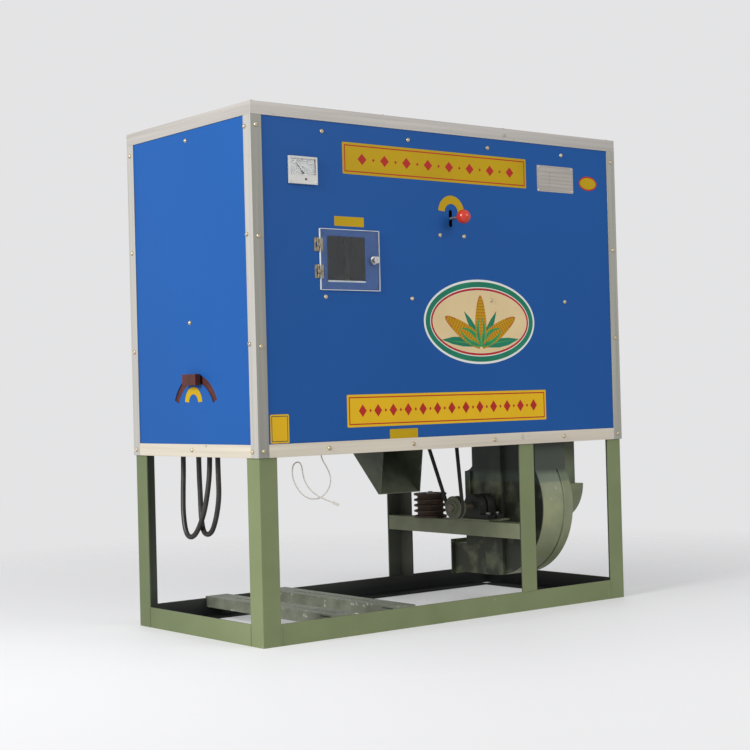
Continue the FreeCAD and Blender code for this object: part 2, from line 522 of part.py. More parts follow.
# husk duct from the chamber hood to the fan's suction duct
dy0, dy1 = DUCT_Y
dz0_, dz1_ = DUCT_Z
duct = box(cx0, SUCT[1], dy0, dy1, dz0_, dz1_)
duct = duct.cut(box(cx0 + 2, SUCT[1] - 2, dy0 + 2, dy1 - 2, dz0_ + 2, dz1_ - 2))
duct = duct.cut(box(cx0 + 2, HUSK_X1 - 2, dy0 + 2, dy1 - 2, dz1_ - 17, dz1_ + 1))
head = box(SUCT[0], SUCT[1], dy0, SUCT[3], dz0_, dz1_)
head = head.cut(box(SUCT[0] + 2, SUCT[1] - 2, dy0 + 2, SUCT[3] - 2, dz0_ + 2, dz1_ - 2))
duct = duct.cut(box(SUCT[0] + 2, SUCT[1] - 2, dy0 + 2, dy1 + 5, dz0_ + 2, dz1_ - 2)).fuse(head)
duct = duct.cut(box(SUCT[0] - 4, SUCT[0] + 4, dy0 + 2, dy1 - 2, dz0_ + 2, dz1_ - 2))
duct = duct.cut(box(SUCT[0] + 2, SUCT[1] - 2, SUCT[2] + 2, SUCT[3] - 2, dz0_ - 10, dz0_ + 4))
keep("husk_duct", duct.removeSplitter())
riser = box(SUCT[0], SUCT[1], SUCT[2], SUCT[3], 376, dz0_)
riser = riser.cut(box(SUCT[0] + 2, SUCT[1] - 2, SUCT[2] + 2, SUCT[3] - 2, 376, dz0_))
keep("suction_riser", riser)

# discharge chute under the cabinet, open towards the front
CHUTE = (HUSK_X1, CHAMBER_X1)
cy0, cy1 = SPOUT_Y[0] - 65, SPOUT_Y[1] + 5
side = [(cy0, zf), (cy1, zf), (cy1, zf - 12), (cy0 + 30, 391), (cy0 + 21, 391)]
chute = prism_x(side, CHUTE[0], CHUTE[1])
hollow = prism_x([(cy0 - 12, zf + 1), (cy1 - 3, zf + 1), (cy1 - 3, zf - 11), (cy0 + 28, 394),
                  (cy0 - 12, 394)],
                 CHUTE[0] + 2.5, CHUTE[1] - 2.5)
chute = chute.cut(hollow)
lip_l = box(CHUTE[0] - 14, CHUTE[0], cy0, cy1, zf - 2.5, zf)
lip_r = box(CHUTE[1], STAND_X[1], cy0, cy1, zf - 2.5, zf)
chute = chute.fuse([lip_l, lip_r])
chute.translate(V(0, 0, zf + LIGHT_T - zf))
keep("discharge_chute", chute.removeSplitter())

# quadrant, adjusting shaft and the flap it swings in the outlet
FLAP_DEG = 30.0
quad = ring_sector(Y0 + 1.5, Y0 + 6.5, QUAD_Y, QUAD_Z, 92, 138, 90 - 92, 90 + 92)
spoke = box(Y0 + 1.5, Y0 + 6.5, QUAD_Y - 18, QUAD_Y + 18, QUAD_Z, QUAD_Z + 100)
hub = rod(Y0 + 1.5, 40, QUAD_Y, QUAD_Z, 22)
quad = join([quad, spoke, hub]).cut(rod(0, 41, QUAD_Y, QUAD_Z, ADJ_R))
keep("adjusting_quadrant", quad)
grip = box(-GRIP_OUT, -GRIP_OUT + 18, QUAD_Y - 37, QUAD_Y + 37, QUAD_Z + 97, QUAD_Z + 130)
grip = grip.fuse(box(-GRIP_OUT + 18, Y0 + 1.5, QUAD_Y - 14, QUAD_Y + 14, QUAD_Z + 108, QUAD_Z + 126))
keep("adjusting_grip", grip)
keep("adjusting_shaft", rod(Y0 + 6, CHAMBER_X1 + 10, QUAD_Y, QUAD_Z, ADJ_R))
flap = box(HUSK_X1 + 9, CHAMBER_X1 - 9, QUAD_Y - 2, QUAD_Y + 2, QUAD_Z - 84, QUAD_Z)
flap = flap.fuse(rod(HUSK_X1 + 9, CHAMBER_X1 - 9, QUAD_Y, QUAD_Z, ADJ_R + 1.5))
flap.rotate(V(0, QUAD_Y, QUAD_Z), V(1, 0, 0), -FLAP_DEG)
keep("outlet_flap", flap.cut(rod(HUSK_X1, CHAMBER_X1 + 5, QUAD_Y, QUAD_Z, ADJ_R)).removeSplitter())
shaft_lug = box(125, 135, QUAD_Y - 16, QUAD_Y + 16, zf + LIGHT_T + SHEET, QUAD_Z + 16)
shaft_lug = shaft_lug.fuse(box(112, 150, QUAD_Y - 22, QUAD_Y + 22,
                               zf + LIGHT_T + SHEET, zf + LIGHT_T + SHEET + 5))
shaft_lug = shaft_lug.cut(rod(112, 150, QUAD_Y, QUAD_Z, ADJ_R + BEARING_GAP))
keep("adjusting_shaft_bracket", shaft_lug.removeSplitter())

# fan under the cabinet
def casing_outline(x, inset):
    """Fan casing in y and z: round front and bottom, straight back, outlet at the back foot."""
    r = SCROLL_R - inset
    top = CABINET_BOTTOM
    a0 = math.radians(150)
    p_bottom = V(x, FAN_Y, FAN_Z - r)
    p_mid = V(x, FAN_Y - r, FAN_Z)
    y_top = FAN_Y + r * math.cos(a0)
    p_front = V(x, y_top, FAN_Z + r * math.sin(a0))
    fil = 50.0 + inset
    cy, cz = 395.0, 490.0
    pts = [p_front, V(x, y_top, top - inset), V(x, cy - fil, top - inset), V(x, cy - fil, cz)]
    edges = [Part.Arc(p_bottom, p_mid, p_front).toShape()]
    edges += [Part.makeLine(a, b) for a, b in zip(pts, pts[1:])]
    corner = V(x, cy - fil * math.cos(math.radians(45)), cz - fil * math.sin(math.radians(45)))
    foot_y = cy - inset
    low = V(x, foot_y, cz - math.sqrt(fil ** 2 - inset ** 2))
    edges.append(Part.Arc(pts[-1], corner, low).toShape())
    tail = [low, V(x, foot_y, OUTLET_TOP - inset), V(x, 462, OUTLET_TOP - inset),
            V(x, 462, FAN_Z - r), p_bottom]
    edges += [Part.makeLine(a, b) for a, b in zip(tail, tail[1:])]
    return Part.Face(Part.Wire(edges))


def casing(x0, x1, closed_left, closed_right):
    solid = casing_outline(x0, 0.0).extrude(V(x1 - x0, 0, 0))
    i0 = x0 + (FAN_SHEET if closed_left else -1.0)
    i1 = x1 - (FAN_SHEET if closed_right else -1.0)
    inner = casing_outline(i0, FAN_SHEET).extrude(V(i1 - i0, 0, 0))
    mouth = box(i0, i1, 440, 470, FAN_Z - SCROLL_R + FAN_SHEET, OUTLET_TOP - FAN_SHEET)
    return solid.cut(inner).cut(mouth)


def seam_flange(x0, x1):
    """Narrow raised edge where the two casing halves meet."""
    band = rod(x0, x1, FAN_Y, FAN_Z, SCROLL_R + 5).cut(rod(x0, x1, FAN_Y, FAN_Z, SCROLL_R - 1))
    keep_part = box(x0, x1, FAN_Y - 260, FAN_Y, FAN_Z - 236, FAN_Z + 118)
    return band.common(keep_part)


left_half = casing(FAN_X0, FAN_SEAM, True, False).fuse(seam_flange(FAN_SEAM - 3, FAN_SEAM))
left_half = left_half.cut(rod(FAN_X0 - 1, FAN_X0 + 5, FAN_Y, FAN_Z, FAN_SHAFT_R + 3))
flange_z = (FAN_Z - SCROLL_R - 8, OUTLET_TOP + 12)
mouth_z = (FAN_Z - SCROLL_R + FAN_SHEET, OUTLET_TOP - FAN_SHEET)
out_flange = box(FAN_X0 - 14, FAN_SEAM, 456, 462, *flange_z)
out_flange = out_flange.cut(box(FAN_X0 + 3, FAN_SEAM, 450, 470, *mouth_z))
out_flange = out_flange.cut(pin_y(FAN_X0 - 7, 450, 470, flange_z[1] - 10, 3))
left_half = left_half.fuse(out_flange)
rib = box(FAN_X0 - 14, FAN_X0, 199, 284, 96, CABINET_BOTTOM)
rib = rib.cut(box(FAN_X0 - 11, FAN_X0, 202, 281, 96, CABINET_BOTTOM))
rib = rib.cut(rod(FAN_X0 - 15, FAN_X0, FAN_Y, FAN_Z, FAN_SHAFT_R + 8))
rib = rib.fuse(box(FAN_X0 - 8, FAN_X0, 360, 366, 240, 440))
left_half = left_half.fuse(rib)
keep("fan_casing_left", left_half.removeSplitter())
right_half = casing(FAN_SEAM, FAN_X1, False, True).fuse(seam_flange(FAN_SEAM, FAN_SEAM + 3))
EYE_R = 58.0
right_half = right_half.cut(rod(FAN_X1 - 5, FAN_X1 + 1, FAN_Y, FAN_Z, EYE_R))
out_flange = box(FAN_SEAM, FAN_X1 + 14, 456, 462, *flange_z)
out_flange = out_flange.cut(box(FAN_SEAM, FAN_X1 - 3, 450, 470, *mouth_z))
out_flange = out_flange.cut(pin_y(FAN_X1 + 7, 450, 470, flange_z[1] - 10, 3))
keep("fan_casing_right", right_half.fuse(out_flange).removeSplitter())

# round-bottomed suction elbow on the fan's right side
ELBOW = (FAN_X1, ELBOW_X1)
ELBOW_Y, ELBOW_Z, ELBOW_R = 225.0, 392.0, 130.0
elbow = rod(ELBOW[0], ELBOW[1], ELBOW_Y, ELBOW_Z, ELBOW_R)
elbow = elbow.cut(rod(ELBOW[0] + 3, ELBOW[1] - 3, ELBOW_Y, ELBOW_Z, ELBOW_R - 3))
elbow = elbow.cut(box(ELBOW[0], ELBOW[1], 0, 400, ELBOW_Z, ELBOW_Z + 200))
elbow = elbow.cut(rod(ELBOW[0] - 1, ELBOW[0] + 4, FAN_Y, FAN_Z, EYE_R))
cover = box(ELBOW[0], ELBOW[1], ELBOW_Y - ELBOW_R, ELBOW_Y + ELBOW_R, ELBOW_Z - 3, ELBOW_Z)
cover = cover.cut(box(SUCT[0] - 0.3, SUCT[1] + 0.3, SUCT[2] - 0.3, SUCT[3] + 0.3, ELBOW_Z - 3, ELBOW_Z))
keep("suction_elbow", elbow.fuse(cover).removeSplitter())

# fan shaft, impeller, pulley, bearing block and the shelf under it
keep("fan_shaft", rod(BELT_X - 22, FAN_X1 - 8, FAN_Y, FAN_Z, FAN_SHAFT_R))
w0, w1 = FAN_X0 + 12, FAN_X1 - 18
wheel = [rod(w0, w0 + 4, FAN_Y, FAN_Z, WHEEL_R), rod(w0 + 4, w0 + 54, FAN_Y, FAN_Z, 28)]
for k in range(8):
    blade = box(w0 + 4, w1, -2, 2, 44, WHEEL_R)
    blade.rotate(V(0, 0, 0), V(1, 0, 0), 45 * k)
    blade.translate(V(0, FAN_Y, FAN_Z))
    wheel.append(blade)
ring_w = rod(w1 - 4, w1, FAN_Y, FAN_Z, WHEEL_R).cut(rod(w1 - 4, w1, FAN_Y, FAN_Z, 60))
wheel = join(wheel + [ring_w]).cut(rod(w0 - 2, w0 + 60, FAN_Y, FAN_Z, FAN_SHAFT_R))
wheel = wheel.cut(rod(w0 + 50, w1 + 4, FAN_Y, FAN_Z, FAN_SHAFT_R + 12))
hub = rod(w0 + 4, w0 + 52, FAN_Y, FAN_Z, 28).cut(rod(w0 - 2, w0 + 60, FAN_Y, FAN_Z, FAN_SHAFT_R))
keep("fan_impeller", wheel.fuse(hub))
small = rod(BELT_X - 13, BELT_X + 13, FAN_Y, FAN_Z, SMALL_PULLEY_R)
small = small.cut(groove_ring(BELT_X, FAN_Y, FAN_Z, SMALL_PULLEY_R))
small = small.fuse(rod(BELT_X - 18, BELT_X - 13, FAN_Y, FAN_Z, 22))
keep("fan_pulley", small.cut(rod(BELT_X - 20, BELT_X + 20, FAN_Y, FAN_Z, FAN_SHAFT_R)).removeSplitter())
shelf_z = CROSSBAR_Z + LIGHT
shelf = box(MID_POST_X, FAN_X0 - 14, FAN_Y - 95, FAN_Y + 95, shelf_z, shelf_z + 6)
gusset = box(MID_POST_X + LIGHT_T, FAN_X0 - 14, FAN_Y - 3, FAN_Y + 3, CROSSBAR_Z, shelf_z)
gusset = gusset.cut(box(MID_POST_X, MID_POST_X + LIGHT, FAN_Y - 5, FAN_Y + 5, shelf_z - LIGHT_T, shelf_z))
shelf = shelf.fuse(gusset)
keep("fan_bearing_shelf", shelf.removeSplitter())
shelf_reach = FAN_X0 - MID_POST_X
for tag, x in (("inner", MID_POST_X + shelf_reach * 0.24), ("outer", MID_POST_X + shelf_reach * 0.61)):
    keep("fan_bearing_" + tag, pillow_block(x, FAN_Y, FAN_Z, 32, 82, FAN_SHAFT_R, CROSSBAR_Z + LIGHT + 6))

# belt: two straight strands and the arcs round both pulleys
dy, dz = ROTOR_Y - FAN_Y, ROTOR_Z - FAN_Z
span = math.hypot(dy, dz)
aim = math.degrees(math.atan2(dz, dy))


def belt_loop():
    """V section swept round both pulleys, its wide face outwards."""
    r1 = BIG_PULLEY_R
    r2 = SMALL_PULLEY_R
    lean = math.degrees(math.acos((r1 - r2) / span))
    x = BELT_X
    ends = ((ROTOR_Y, ROTOR_Z, r1, -lean), (FAN_Y, FAN_Z, r2, -lean),
            (FAN_Y, FAN_Z, r2, lean), (ROTOR_Y, ROTOR_Z, r1, lean))
    pts = [V(x, *polar(cy, cz, r, aim + 180 + turn)) for cy, cz, r, turn in ends]
    far1 = V(x, *polar(ROTOR_Y, ROTOR_Z, r1, aim))
    far2 = V(x, *polar(FAN_Y, FAN_Z, r2, aim + 180))
    path = Part.Wire([Part.makeLine(pts[0], pts[1]), Part.Arc(pts[1], far2, pts[2]).toShape(),
                      Part.makeLine(pts[2], pts[3]), Part.Arc(pts[3], far1, pts[0]).toShape()])
    start = pts[0]
    out = V(0, start.y - ROTOR_Y, start.z - ROTOR_Z)
    out.normalize()
    low = BELT_TOP_W / 2 - BELT_H * 0.32
    ring = [start + V(-BELT_TOP_W / 2, 0, 0), start + V(BELT_TOP_W / 2, 0, 0),
            start + V(low, 0, 0) - out * BELT_H, start - V(low, 0, 0) - out * BELT_H]
    return path.makePipeShell([Part.makePolygon(ring + ring[:1])], True, False)


keep("v_belt", belt_loop())

# four-groove motor pulley stored upright on the crossbar, on a transport stud
MP_X, MP_Y, MP_R = MID_POST_X + 26.0, (FAN_Y + 95 + Y1 - ANGLE) / 2 - 4, 57.0
mp_z0 = CROSSBAR_Z + LIGHT
mp = pin_z(MP_X, MP_Y, mp_z0, mp_z0 + 84, MP_R)
for k in range(4):
    zz = mp_z0 + 13.5 + 19 * k
    pts = [V(MP_X + MP_R + 0.01, MP_Y, zz - 7), V(MP_X + MP_R + 0.01, MP_Y, zz + 7),
           V(MP_X + MP_R - 12, MP_Y, zz + 3.5), V(MP_X + MP_R - 12, MP_Y, zz - 3.5)]
    mp = mp.cut(Part.Face(Part.makePolygon(pts + pts[:1])).revolve(V(MP_X, MP_Y, 0), V(0, 0, 1), 360))
mp = mp.cut(pin_z(MP_X, MP_Y, mp_z0, mp_z0 + 84, 8.0))
keep("motor_pulley", mp.cut(pin_z(MP_X, MP_Y, mp_z0 + 76, mp_z0 + 84, 30)))
stud = pin_z(MP_X, MP_Y, mp_z0 - LIGHT_T - 8, mp_z0 + 90, 8.0)
stud = stud.fuse([pin_z(MP_X, MP_Y, mp_z0 - LIGHT_T - 10, mp_z0 - LIGHT_T, 13),
                  pin_z(MP_X, MP_Y, mp_z0 + 76, mp_z0 + 79, 17),
                  pin_z(MP_X, MP_Y, mp_z0 + 79, mp_z0 + 88, 13)])
keep("motor_pulley_stud", stud.removeSplitter())
bar = pieces["crossbar"].cut(pin_z(MP_X, MP_Y, CROSSBAR_Z, mp_z0 + 1, 8.0))
keep("crossbar", bar)

# fittings on the front panel
mx0, mx1, mz0, mz1 = METER
my = TRIM_T
meter = box(mx0, mx1, my - 9, my, mz0, mz1)
meter = meter.fuse(pin_y(meter_mid[0], my - 1, my + 45, meter_mid[1], 31.6))
meter = meter.cut(box(mx0 + 6, mx1 - 6, my - 9, my - 3, mz0 + 28, mz1 - 6))
keep("panel_meter_body", meter.removeSplitter())
keep("panel_meter_window", box(mx0 + 6, mx1 - 6, my - 9, my - 7.5, mz0 + 28, mz1 - 6))
px, pz = meter_mid[0], mz0 + 33
needle = box(px - 0.6, px + 0.6, my - 5.6, my - 5.0, pz, pz + 34)
needle.rotate(V(px, 0, pz), V(0, 1, 0), -42)
keep("panel_meter_pointer", needle.fuse(pin_y(px, my - 6, my - 3.3, pz, 3.0)))

dx0, dx1, dz0, dz1 = DOOR
d_y1 = TRIM_T - DOOR_GAP
d_y0 = d_y1 - DOOR_T
LOCK = (dx1 - 24, dz0 + 92)
LOCK_OUT = 18.0
door = box(dx0, dx1, d_y0, d_y1, dz0, dz1)
door = door.cut(pin_y(LOCK[0], d_y0, d_y1, LOCK[1], 9))
keep("window_door", door)
HINGE_PIN = (dx0 - 6.0, d_y1 - 2.0)
door_leaf = []
post_leaf = []
for zm in (dz1 - 48, dz0 + 54):
    for k in range(3):
        z0_ = zm - 20 + 13.4 * k + 0.15
        z1_ = z0_ + 13.0
        barrel = pin_z(HINGE_PIN[0], HINGE_PIN[1], z0_, z1_, 2.8)
        if k == 1:
            leaf = box(HINGE_PIN[0], dx0 + 9, d_y0 - 1.5, d_y0, z0_, z1_)
            plate = box(dx0 + 1, dx0 + 9, d_y0 - 1.5, d_y0, zm - 19.8, zm + 20.2)
            link = box(HINGE_PIN[0] - 1, HINGE_PIN[0] + 2, d_y0 - 1.5, HINGE_PIN[1], z0_, z1_)
            one = join([barrel, leaf, plate, link]).cut(pin_z(*HINGE_PIN, z0_, z1_, 1.5 + BEARING_GAP))
            door_leaf.append(one)
        else:
            leaf = box(HINGE_PIN[0] - 12, HINGE_PIN[0], TRIM_T - 1.2, TRIM_T, zm - 19.8, zm + 20.2)
            leaf = leaf.cut(box(HINGE_PIN[0] - 6.5, HINGE_PIN[0] + 1, 0, TRIM_T, zm - 6.9, zm + 7.3))
            post_leaf.append(barrel.fuse(leaf).cut(pin_z(*HINGE_PIN, z0_, z1_, 1.5)))
    post_leaf.append(pin_z(HINGE_PIN[0], HINGE_PIN[1], zm - 19.8, zm + 20.2, 1.5))
keep("window_hinge_door_leaves", Part.makeCompound(door_leaf))
keep("window_hinge_panel_leaves", Part.makeCompound([join(post_leaf[:3]), join(post_leaf[3:])]))
body = pin_y(LOCK[0], d_y0 - LOCK_OUT, d_y1, LOCK[1], 9).fuse(pin_y(LOCK[0], d_y0 - 3, d_y0, LOCK[1], 12.5))
body = body.fuse(pin_y(LOCK[0], d_y0 - LOCK_OUT, d_y0 - LOCK_OUT + 4, LOCK[1], 10.5))
body = body.cut(pin_y(LOCK[0], d_y0 - LOCK_OUT - 1, d_y1 + 1, LOCK[1], 5 + BEARING_GAP))
keep("lock_body", body.removeSplitter())
plug = pin_y(LOCK[0], d_y0 - LOCK_OUT - 1, d_y1, LOCK[1], 5)
plug = plug.cut(box(LOCK[0] - 0.8, LOCK[0] + 0.8, d_y0 - LOCK_OUT - 1, d_y0 - LOCK_OUT + 2,
                    LOCK[1] - 3.5, LOCK[1] + 3.5))
keep("lock_plug", plug)

# cables hanging under the cabinet
def tube(points, r, name):
    """Round tube through the points: straight runs joined by tangent arcs."""
    pts = [V(*p) for p in points]
    edges = []
    start = pts[0]
    smallest = 1e9
    for a, b, c in zip(pts, pts[1:], pts[2:]):
        u, v = (b - a), (c - b)
        turn = u.getAngle(v)
        cut = 0.45 * min(u.Length, v.Length)
        smallest = min(smallest, cut / math.tan(turn / 2))
        u.normalize()
        v.normalize()
        p, q = b - u * cut, b + v * cut
        bis = v - u
        bis.normalize()
        rad = cut / math.tan(turn / 2)
        centre = b + bis * (rad / math.cos(turn / 2))
        mid = centre - bis * rad
        edges.append(Part.makeLine(start, p))
        edges.append(Part.Arc(p, mid, q).toShape())
        start = q
    edges.append(Part.makeLine(start, pts[-1]))
    path = Part.Wire(edges)
    ring = Part.Wire([Part.makeCircle(r, pts[0], pts[1] - pts[0])])
    solid = path.makePipeShell([ring], True, False)
    length = sum(e.Length for e in edges)
    print(name, "length", round(length), "smallest radius", round(smallest, 1),
          "volume ratio", round(solid.Volume / (math.pi * r * r * length), 4))
    return solid


FLOOR_TOP = zf + LIGHT_T + SHEET + 14
CX = CABLE_X
back_y = CABLE_Y[3]
mid_y = CABLE_Y[2]
cable_a = [(CX, back_y, FLOOR_TOP), (CX, back_y, 500), (CX - 5, back_y + 10, 428), (CX - 9, back_y + 12, 352),
           (CX - 11, back_y - 35, 304), (CX - 11, back_y - 101, 304), (CX - 9, back_y - 148, 352),
           (CX - 5, back_y - 154, 428), (CX, CABLE_Y[1], 500), (CX, CABLE_Y[1], FLOOR_TOP)]
cable_b = [(CX, mid_y, FLOOR_TOP), (CX, mid_y, 484), (CX + 8, mid_y + 7, 412), (CX + 12, mid_y + 2, 346),
           (CX + 13, mid_y - 31, 312), (CX + 13, mid_y - 77, 312), (CX + 12, mid_y - 110, 346),
           (CX + 8, mid_y - 117, 412), (CX, CABLE_Y[0], 484), (CX, CABLE_Y[0], FLOOR_TOP)]
keep("supply_cable_a", tube(cable_a, CABLE_R, "supply_cable_a"))
keep("supply_cable_b", tube(cable_b, CABLE_R, "supply_cable_b"))
glands = []
zg = zf + LIGHT_T
for y in CABLE_Y:
    g1 = pin_z(CX, y, zg - 10, zg + SHEET + 10, 13.6).fuse(pin_z(CX, y, zg - 8, zg, 18))
    g1 = g1.fuse(pin_z(CX, y, zg + SHEET, zg + SHEET + 6, 18))
    glands.append(g1.cut(pin_z(CX, y, zg - 11, zg + 30, CABLE_R + 0.3)))
keep("cable_glands", Part.makeCompound(glands))

wx, wy = WIRE_EXIT_X, WIRE_Y
wire = [(wx, wy, zg + 16), (wx, wy, zg - 16), (wx + 14, wy, 500), (wx + 26, wy, 468), (wx + 20, wy + 1, 434),
        (wx - 6, wy + 2, 412), (wx - 40, wy + 3, 412), (wx - 68, wy + 4, 430), (wx - 84, wy + 5, 458),
        (wx - 91, wy + 5, 484), (wx - 90, wy + 4, 506), (wx - 82, wy + 2, 514.5), (wx - 70, wy - 1, 514.5),
        (wx - 62, wy - 4, 506), (wx - 61, wy - 6, 484), (wx - 54, wy - 8, 456), (wx - 34, wy - 10, 430),
        (wx - 2, wy - 9, 409), (wx + 42, wy - 8, 392)]
keep("signal_wire", tube(wire, WIRE_R, "signal_wire"))
bush = pin_z(wx, wy, zg - 3, zg + SHEET + 3, 5.7).fuse(pin_z(wx, wy, zg - 3, zg, 8))
bush = bush.fuse(pin_z(wx, wy, zg + SHEET, zg + SHEET + 3, 8))
keep("wire_bush", bush.cut(pin_z(wx, wy, zg - 4, zg + 8, WIRE_R + 0.4)).removeSplitter())
run = V(*wire[-1]) - V(*wire[-2])
tip = Part.makeBox(20, 5.6, 7.6, V(-4, -2.8, -3.8))
tip = tip.cut(Part.makeCylinder(WIRE_R + 0.02, 4.02, V(-4, 0, 0), V(1, 0, 0)))
tip.Placement = FreeCAD.Placement(V(*wire[-1]), FreeCAD.Rotation(V(1, 0, 0), run)).multiply(tip.Placement)
keep("wire_plug", tip)

# pieces that are alike, or welded into one, are kept together
GROUPS = {
    "base_frame": ("base_rail_front", "base_rail_back", "base_rail_left", "base_rail_right"),
    "corner_trims": ("corner_trim_front_left", "corner_trim_front_right",
                     "corner_trim_back_left", "corner_trim_back_right"),
    "bottom_trims": ("bottom_trim_front", "bottom_trim_back", "bottom_trim_left", "bottom_trim_right"),
    "cabinet_frame": ("cabinet_floor_frame", "cabinet_top_frame"),
    "chamber_end_plates": ("chamber_end_plate_left", "chamber_end_plate_right"),
    "bearing_stands": ("bearing_stand_left", "bearing_stand_right"),
    "main_bearings": ("main_bearing_left", "main_bearing_right"),
    "fan_bearings": ("fan_bearing_inner", "fan_bearing_outer"),
    "adjusting_quadrant": ("adjusting_quadrant", "adjusting_grip"),
    "cable_glands": ("cable_glands", "wire_bush"),
    "husk_ducts": ("husk_duct", "suction_riser"),
    "adjusting_flap": ("adjusting_shaft", "outlet_flap"),
    "feed_hopper": ("feed_hopper", "feed_lid_rim"),
    "corner_posts": ("corner_post_front_left", "corner_post_front_right",
                     "corner_post_back_left", "corner_post_back_right"),
    "mid_posts": ("mid_post_front", "mid_post_back"),
    "motor_rails": ("motor_rail_left", "motor_rail_right"),
    "feed_lever": ("feed_rock_shaft", "feed_lever_arm"),
    "shaft_brackets": ("rock_shaft_bracket_left", "rock_shaft_bracket_right", "adjusting_shaft_bracket"),
}
for name, parts in GROUPS.items():
    solids = [s for part_name in parts for s in pieces[part_name].Solids]
    for part_name in parts:
        del pieces[part_name]
    pieces[name] = Part.makeCompound(solids)

# move the origin under the middle of the whole object and write
low = [min(s.BoundBox.XMin for s in pieces.values()), min(s.BoundBox.YMin for s in pieces.values())]
high = [max(s.BoundBox.XMax for s in pieces.values()), max(s.BoundBox.YMax for s in pieces.values())]
shift = V(-(low[0] + high[0]) / 2, -(low[1] + high[1]) / 2, 0)
print("origin shift", shift, "overall", high[0] - low[0], high[1] - low[1],
      max(s.BoundBox.ZMax for s in pieces.values()))
for name, shape in pieces.items():
    shape.translate(shift)
    if not shape.isValid():
        print("not valid", name)
    shape.exportStep("parts/" + name + ".step")
print(len(pieces), "pieces")
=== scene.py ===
# %% [markdown]
# # Corn dehuller
# A corn dehuller rubs the hull off maize in a screened drum. Its works sit in a blue sheet
# cabinet with aluminium edges, and the cabinet stands on painted angle iron with the fan below.
# The rigid shapes come ready made from the frame. Here they get their finishes, and the small
# things are added: screws, plates, stickers, weld beads, the dial and the hanging cables.

# %% Load the frame
import math
import random

import bmesh
import bpy
from mathutils import Matrix, Vector


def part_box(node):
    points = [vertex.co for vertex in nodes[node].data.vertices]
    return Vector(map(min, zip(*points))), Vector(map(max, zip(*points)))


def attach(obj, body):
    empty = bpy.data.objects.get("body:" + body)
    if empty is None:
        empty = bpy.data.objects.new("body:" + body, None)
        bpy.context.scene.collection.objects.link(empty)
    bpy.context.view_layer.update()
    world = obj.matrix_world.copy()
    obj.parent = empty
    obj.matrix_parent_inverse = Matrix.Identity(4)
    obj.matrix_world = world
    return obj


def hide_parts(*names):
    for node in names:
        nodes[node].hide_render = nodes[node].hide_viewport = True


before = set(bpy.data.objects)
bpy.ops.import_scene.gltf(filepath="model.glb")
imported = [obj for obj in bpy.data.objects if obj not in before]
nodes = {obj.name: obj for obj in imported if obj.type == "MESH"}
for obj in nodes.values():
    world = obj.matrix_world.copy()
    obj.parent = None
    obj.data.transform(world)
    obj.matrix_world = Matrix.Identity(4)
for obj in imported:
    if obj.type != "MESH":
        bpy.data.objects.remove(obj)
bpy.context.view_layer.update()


middle_x, middle_y = 740, 310


def at(x, y, z):
    """A place given in millimetres from the left end, the front face and the floor."""
    return Vector(((x - middle_x) / 1000, (y - middle_y) / 1000, z / 1000))


# %% [markdown]
# ## Camera
# The photograph was taken from the front left at about the height of the machine's middle.
# A long lens far away keeps the uprights nearly parallel, so the lens is 77 mm and the camera
# stands over five metres off. A slight roll of the hand is kept as well.

# %% Camera
view_turn = math.radians(38.49)
view_rise = math.radians(0.68)
view_roll = math.radians(-1.49)
ahead = Vector((math.sin(view_turn) * math.cos(view_rise), math.cos(view_turn) * math.cos(view_rise),
                math.sin(view_rise)))
level = Vector((math.cos(view_turn), -math.sin(view_turn), 0))
upright = level.cross(ahead)
side = level * math.cos(view_roll) + upright * math.sin(view_roll)
top = upright * math.cos(view_roll) - level * math.sin(view_roll)
lens = bpy.data.cameras.new("camera")
lens.lens = 76.94
lens.sensor_width = 36
lens.clip_start = 0.1
lens.clip_end = 60
camera = bpy.data.objects.new("camera", lens)
bpy.context.scene.collection.objects.link(camera)
camera_place = (-3.3071, -4.0787, 0.7145)
camera_turn = Matrix((side, top, -ahead)).transposed().to_4x4()
camera.matrix_world = Matrix.Translation(camera_place) @ camera_turn
bpy.context.scene.camera = camera
print("camera looks along", tuple(round(c, 3) for c in ahead))

# %% [markdown]
# ## Finishes
# Every finish is made of noise textures on Object coordinates, so that it keeps its scale on
# large and small pieces alike. One helper lays a broad mottle under a fine bump, which is what
# sprayed paint, rubber and cast iron share. The gloss comes from the shader's own roughness.

# %% A helper for finishes
finishes = {}


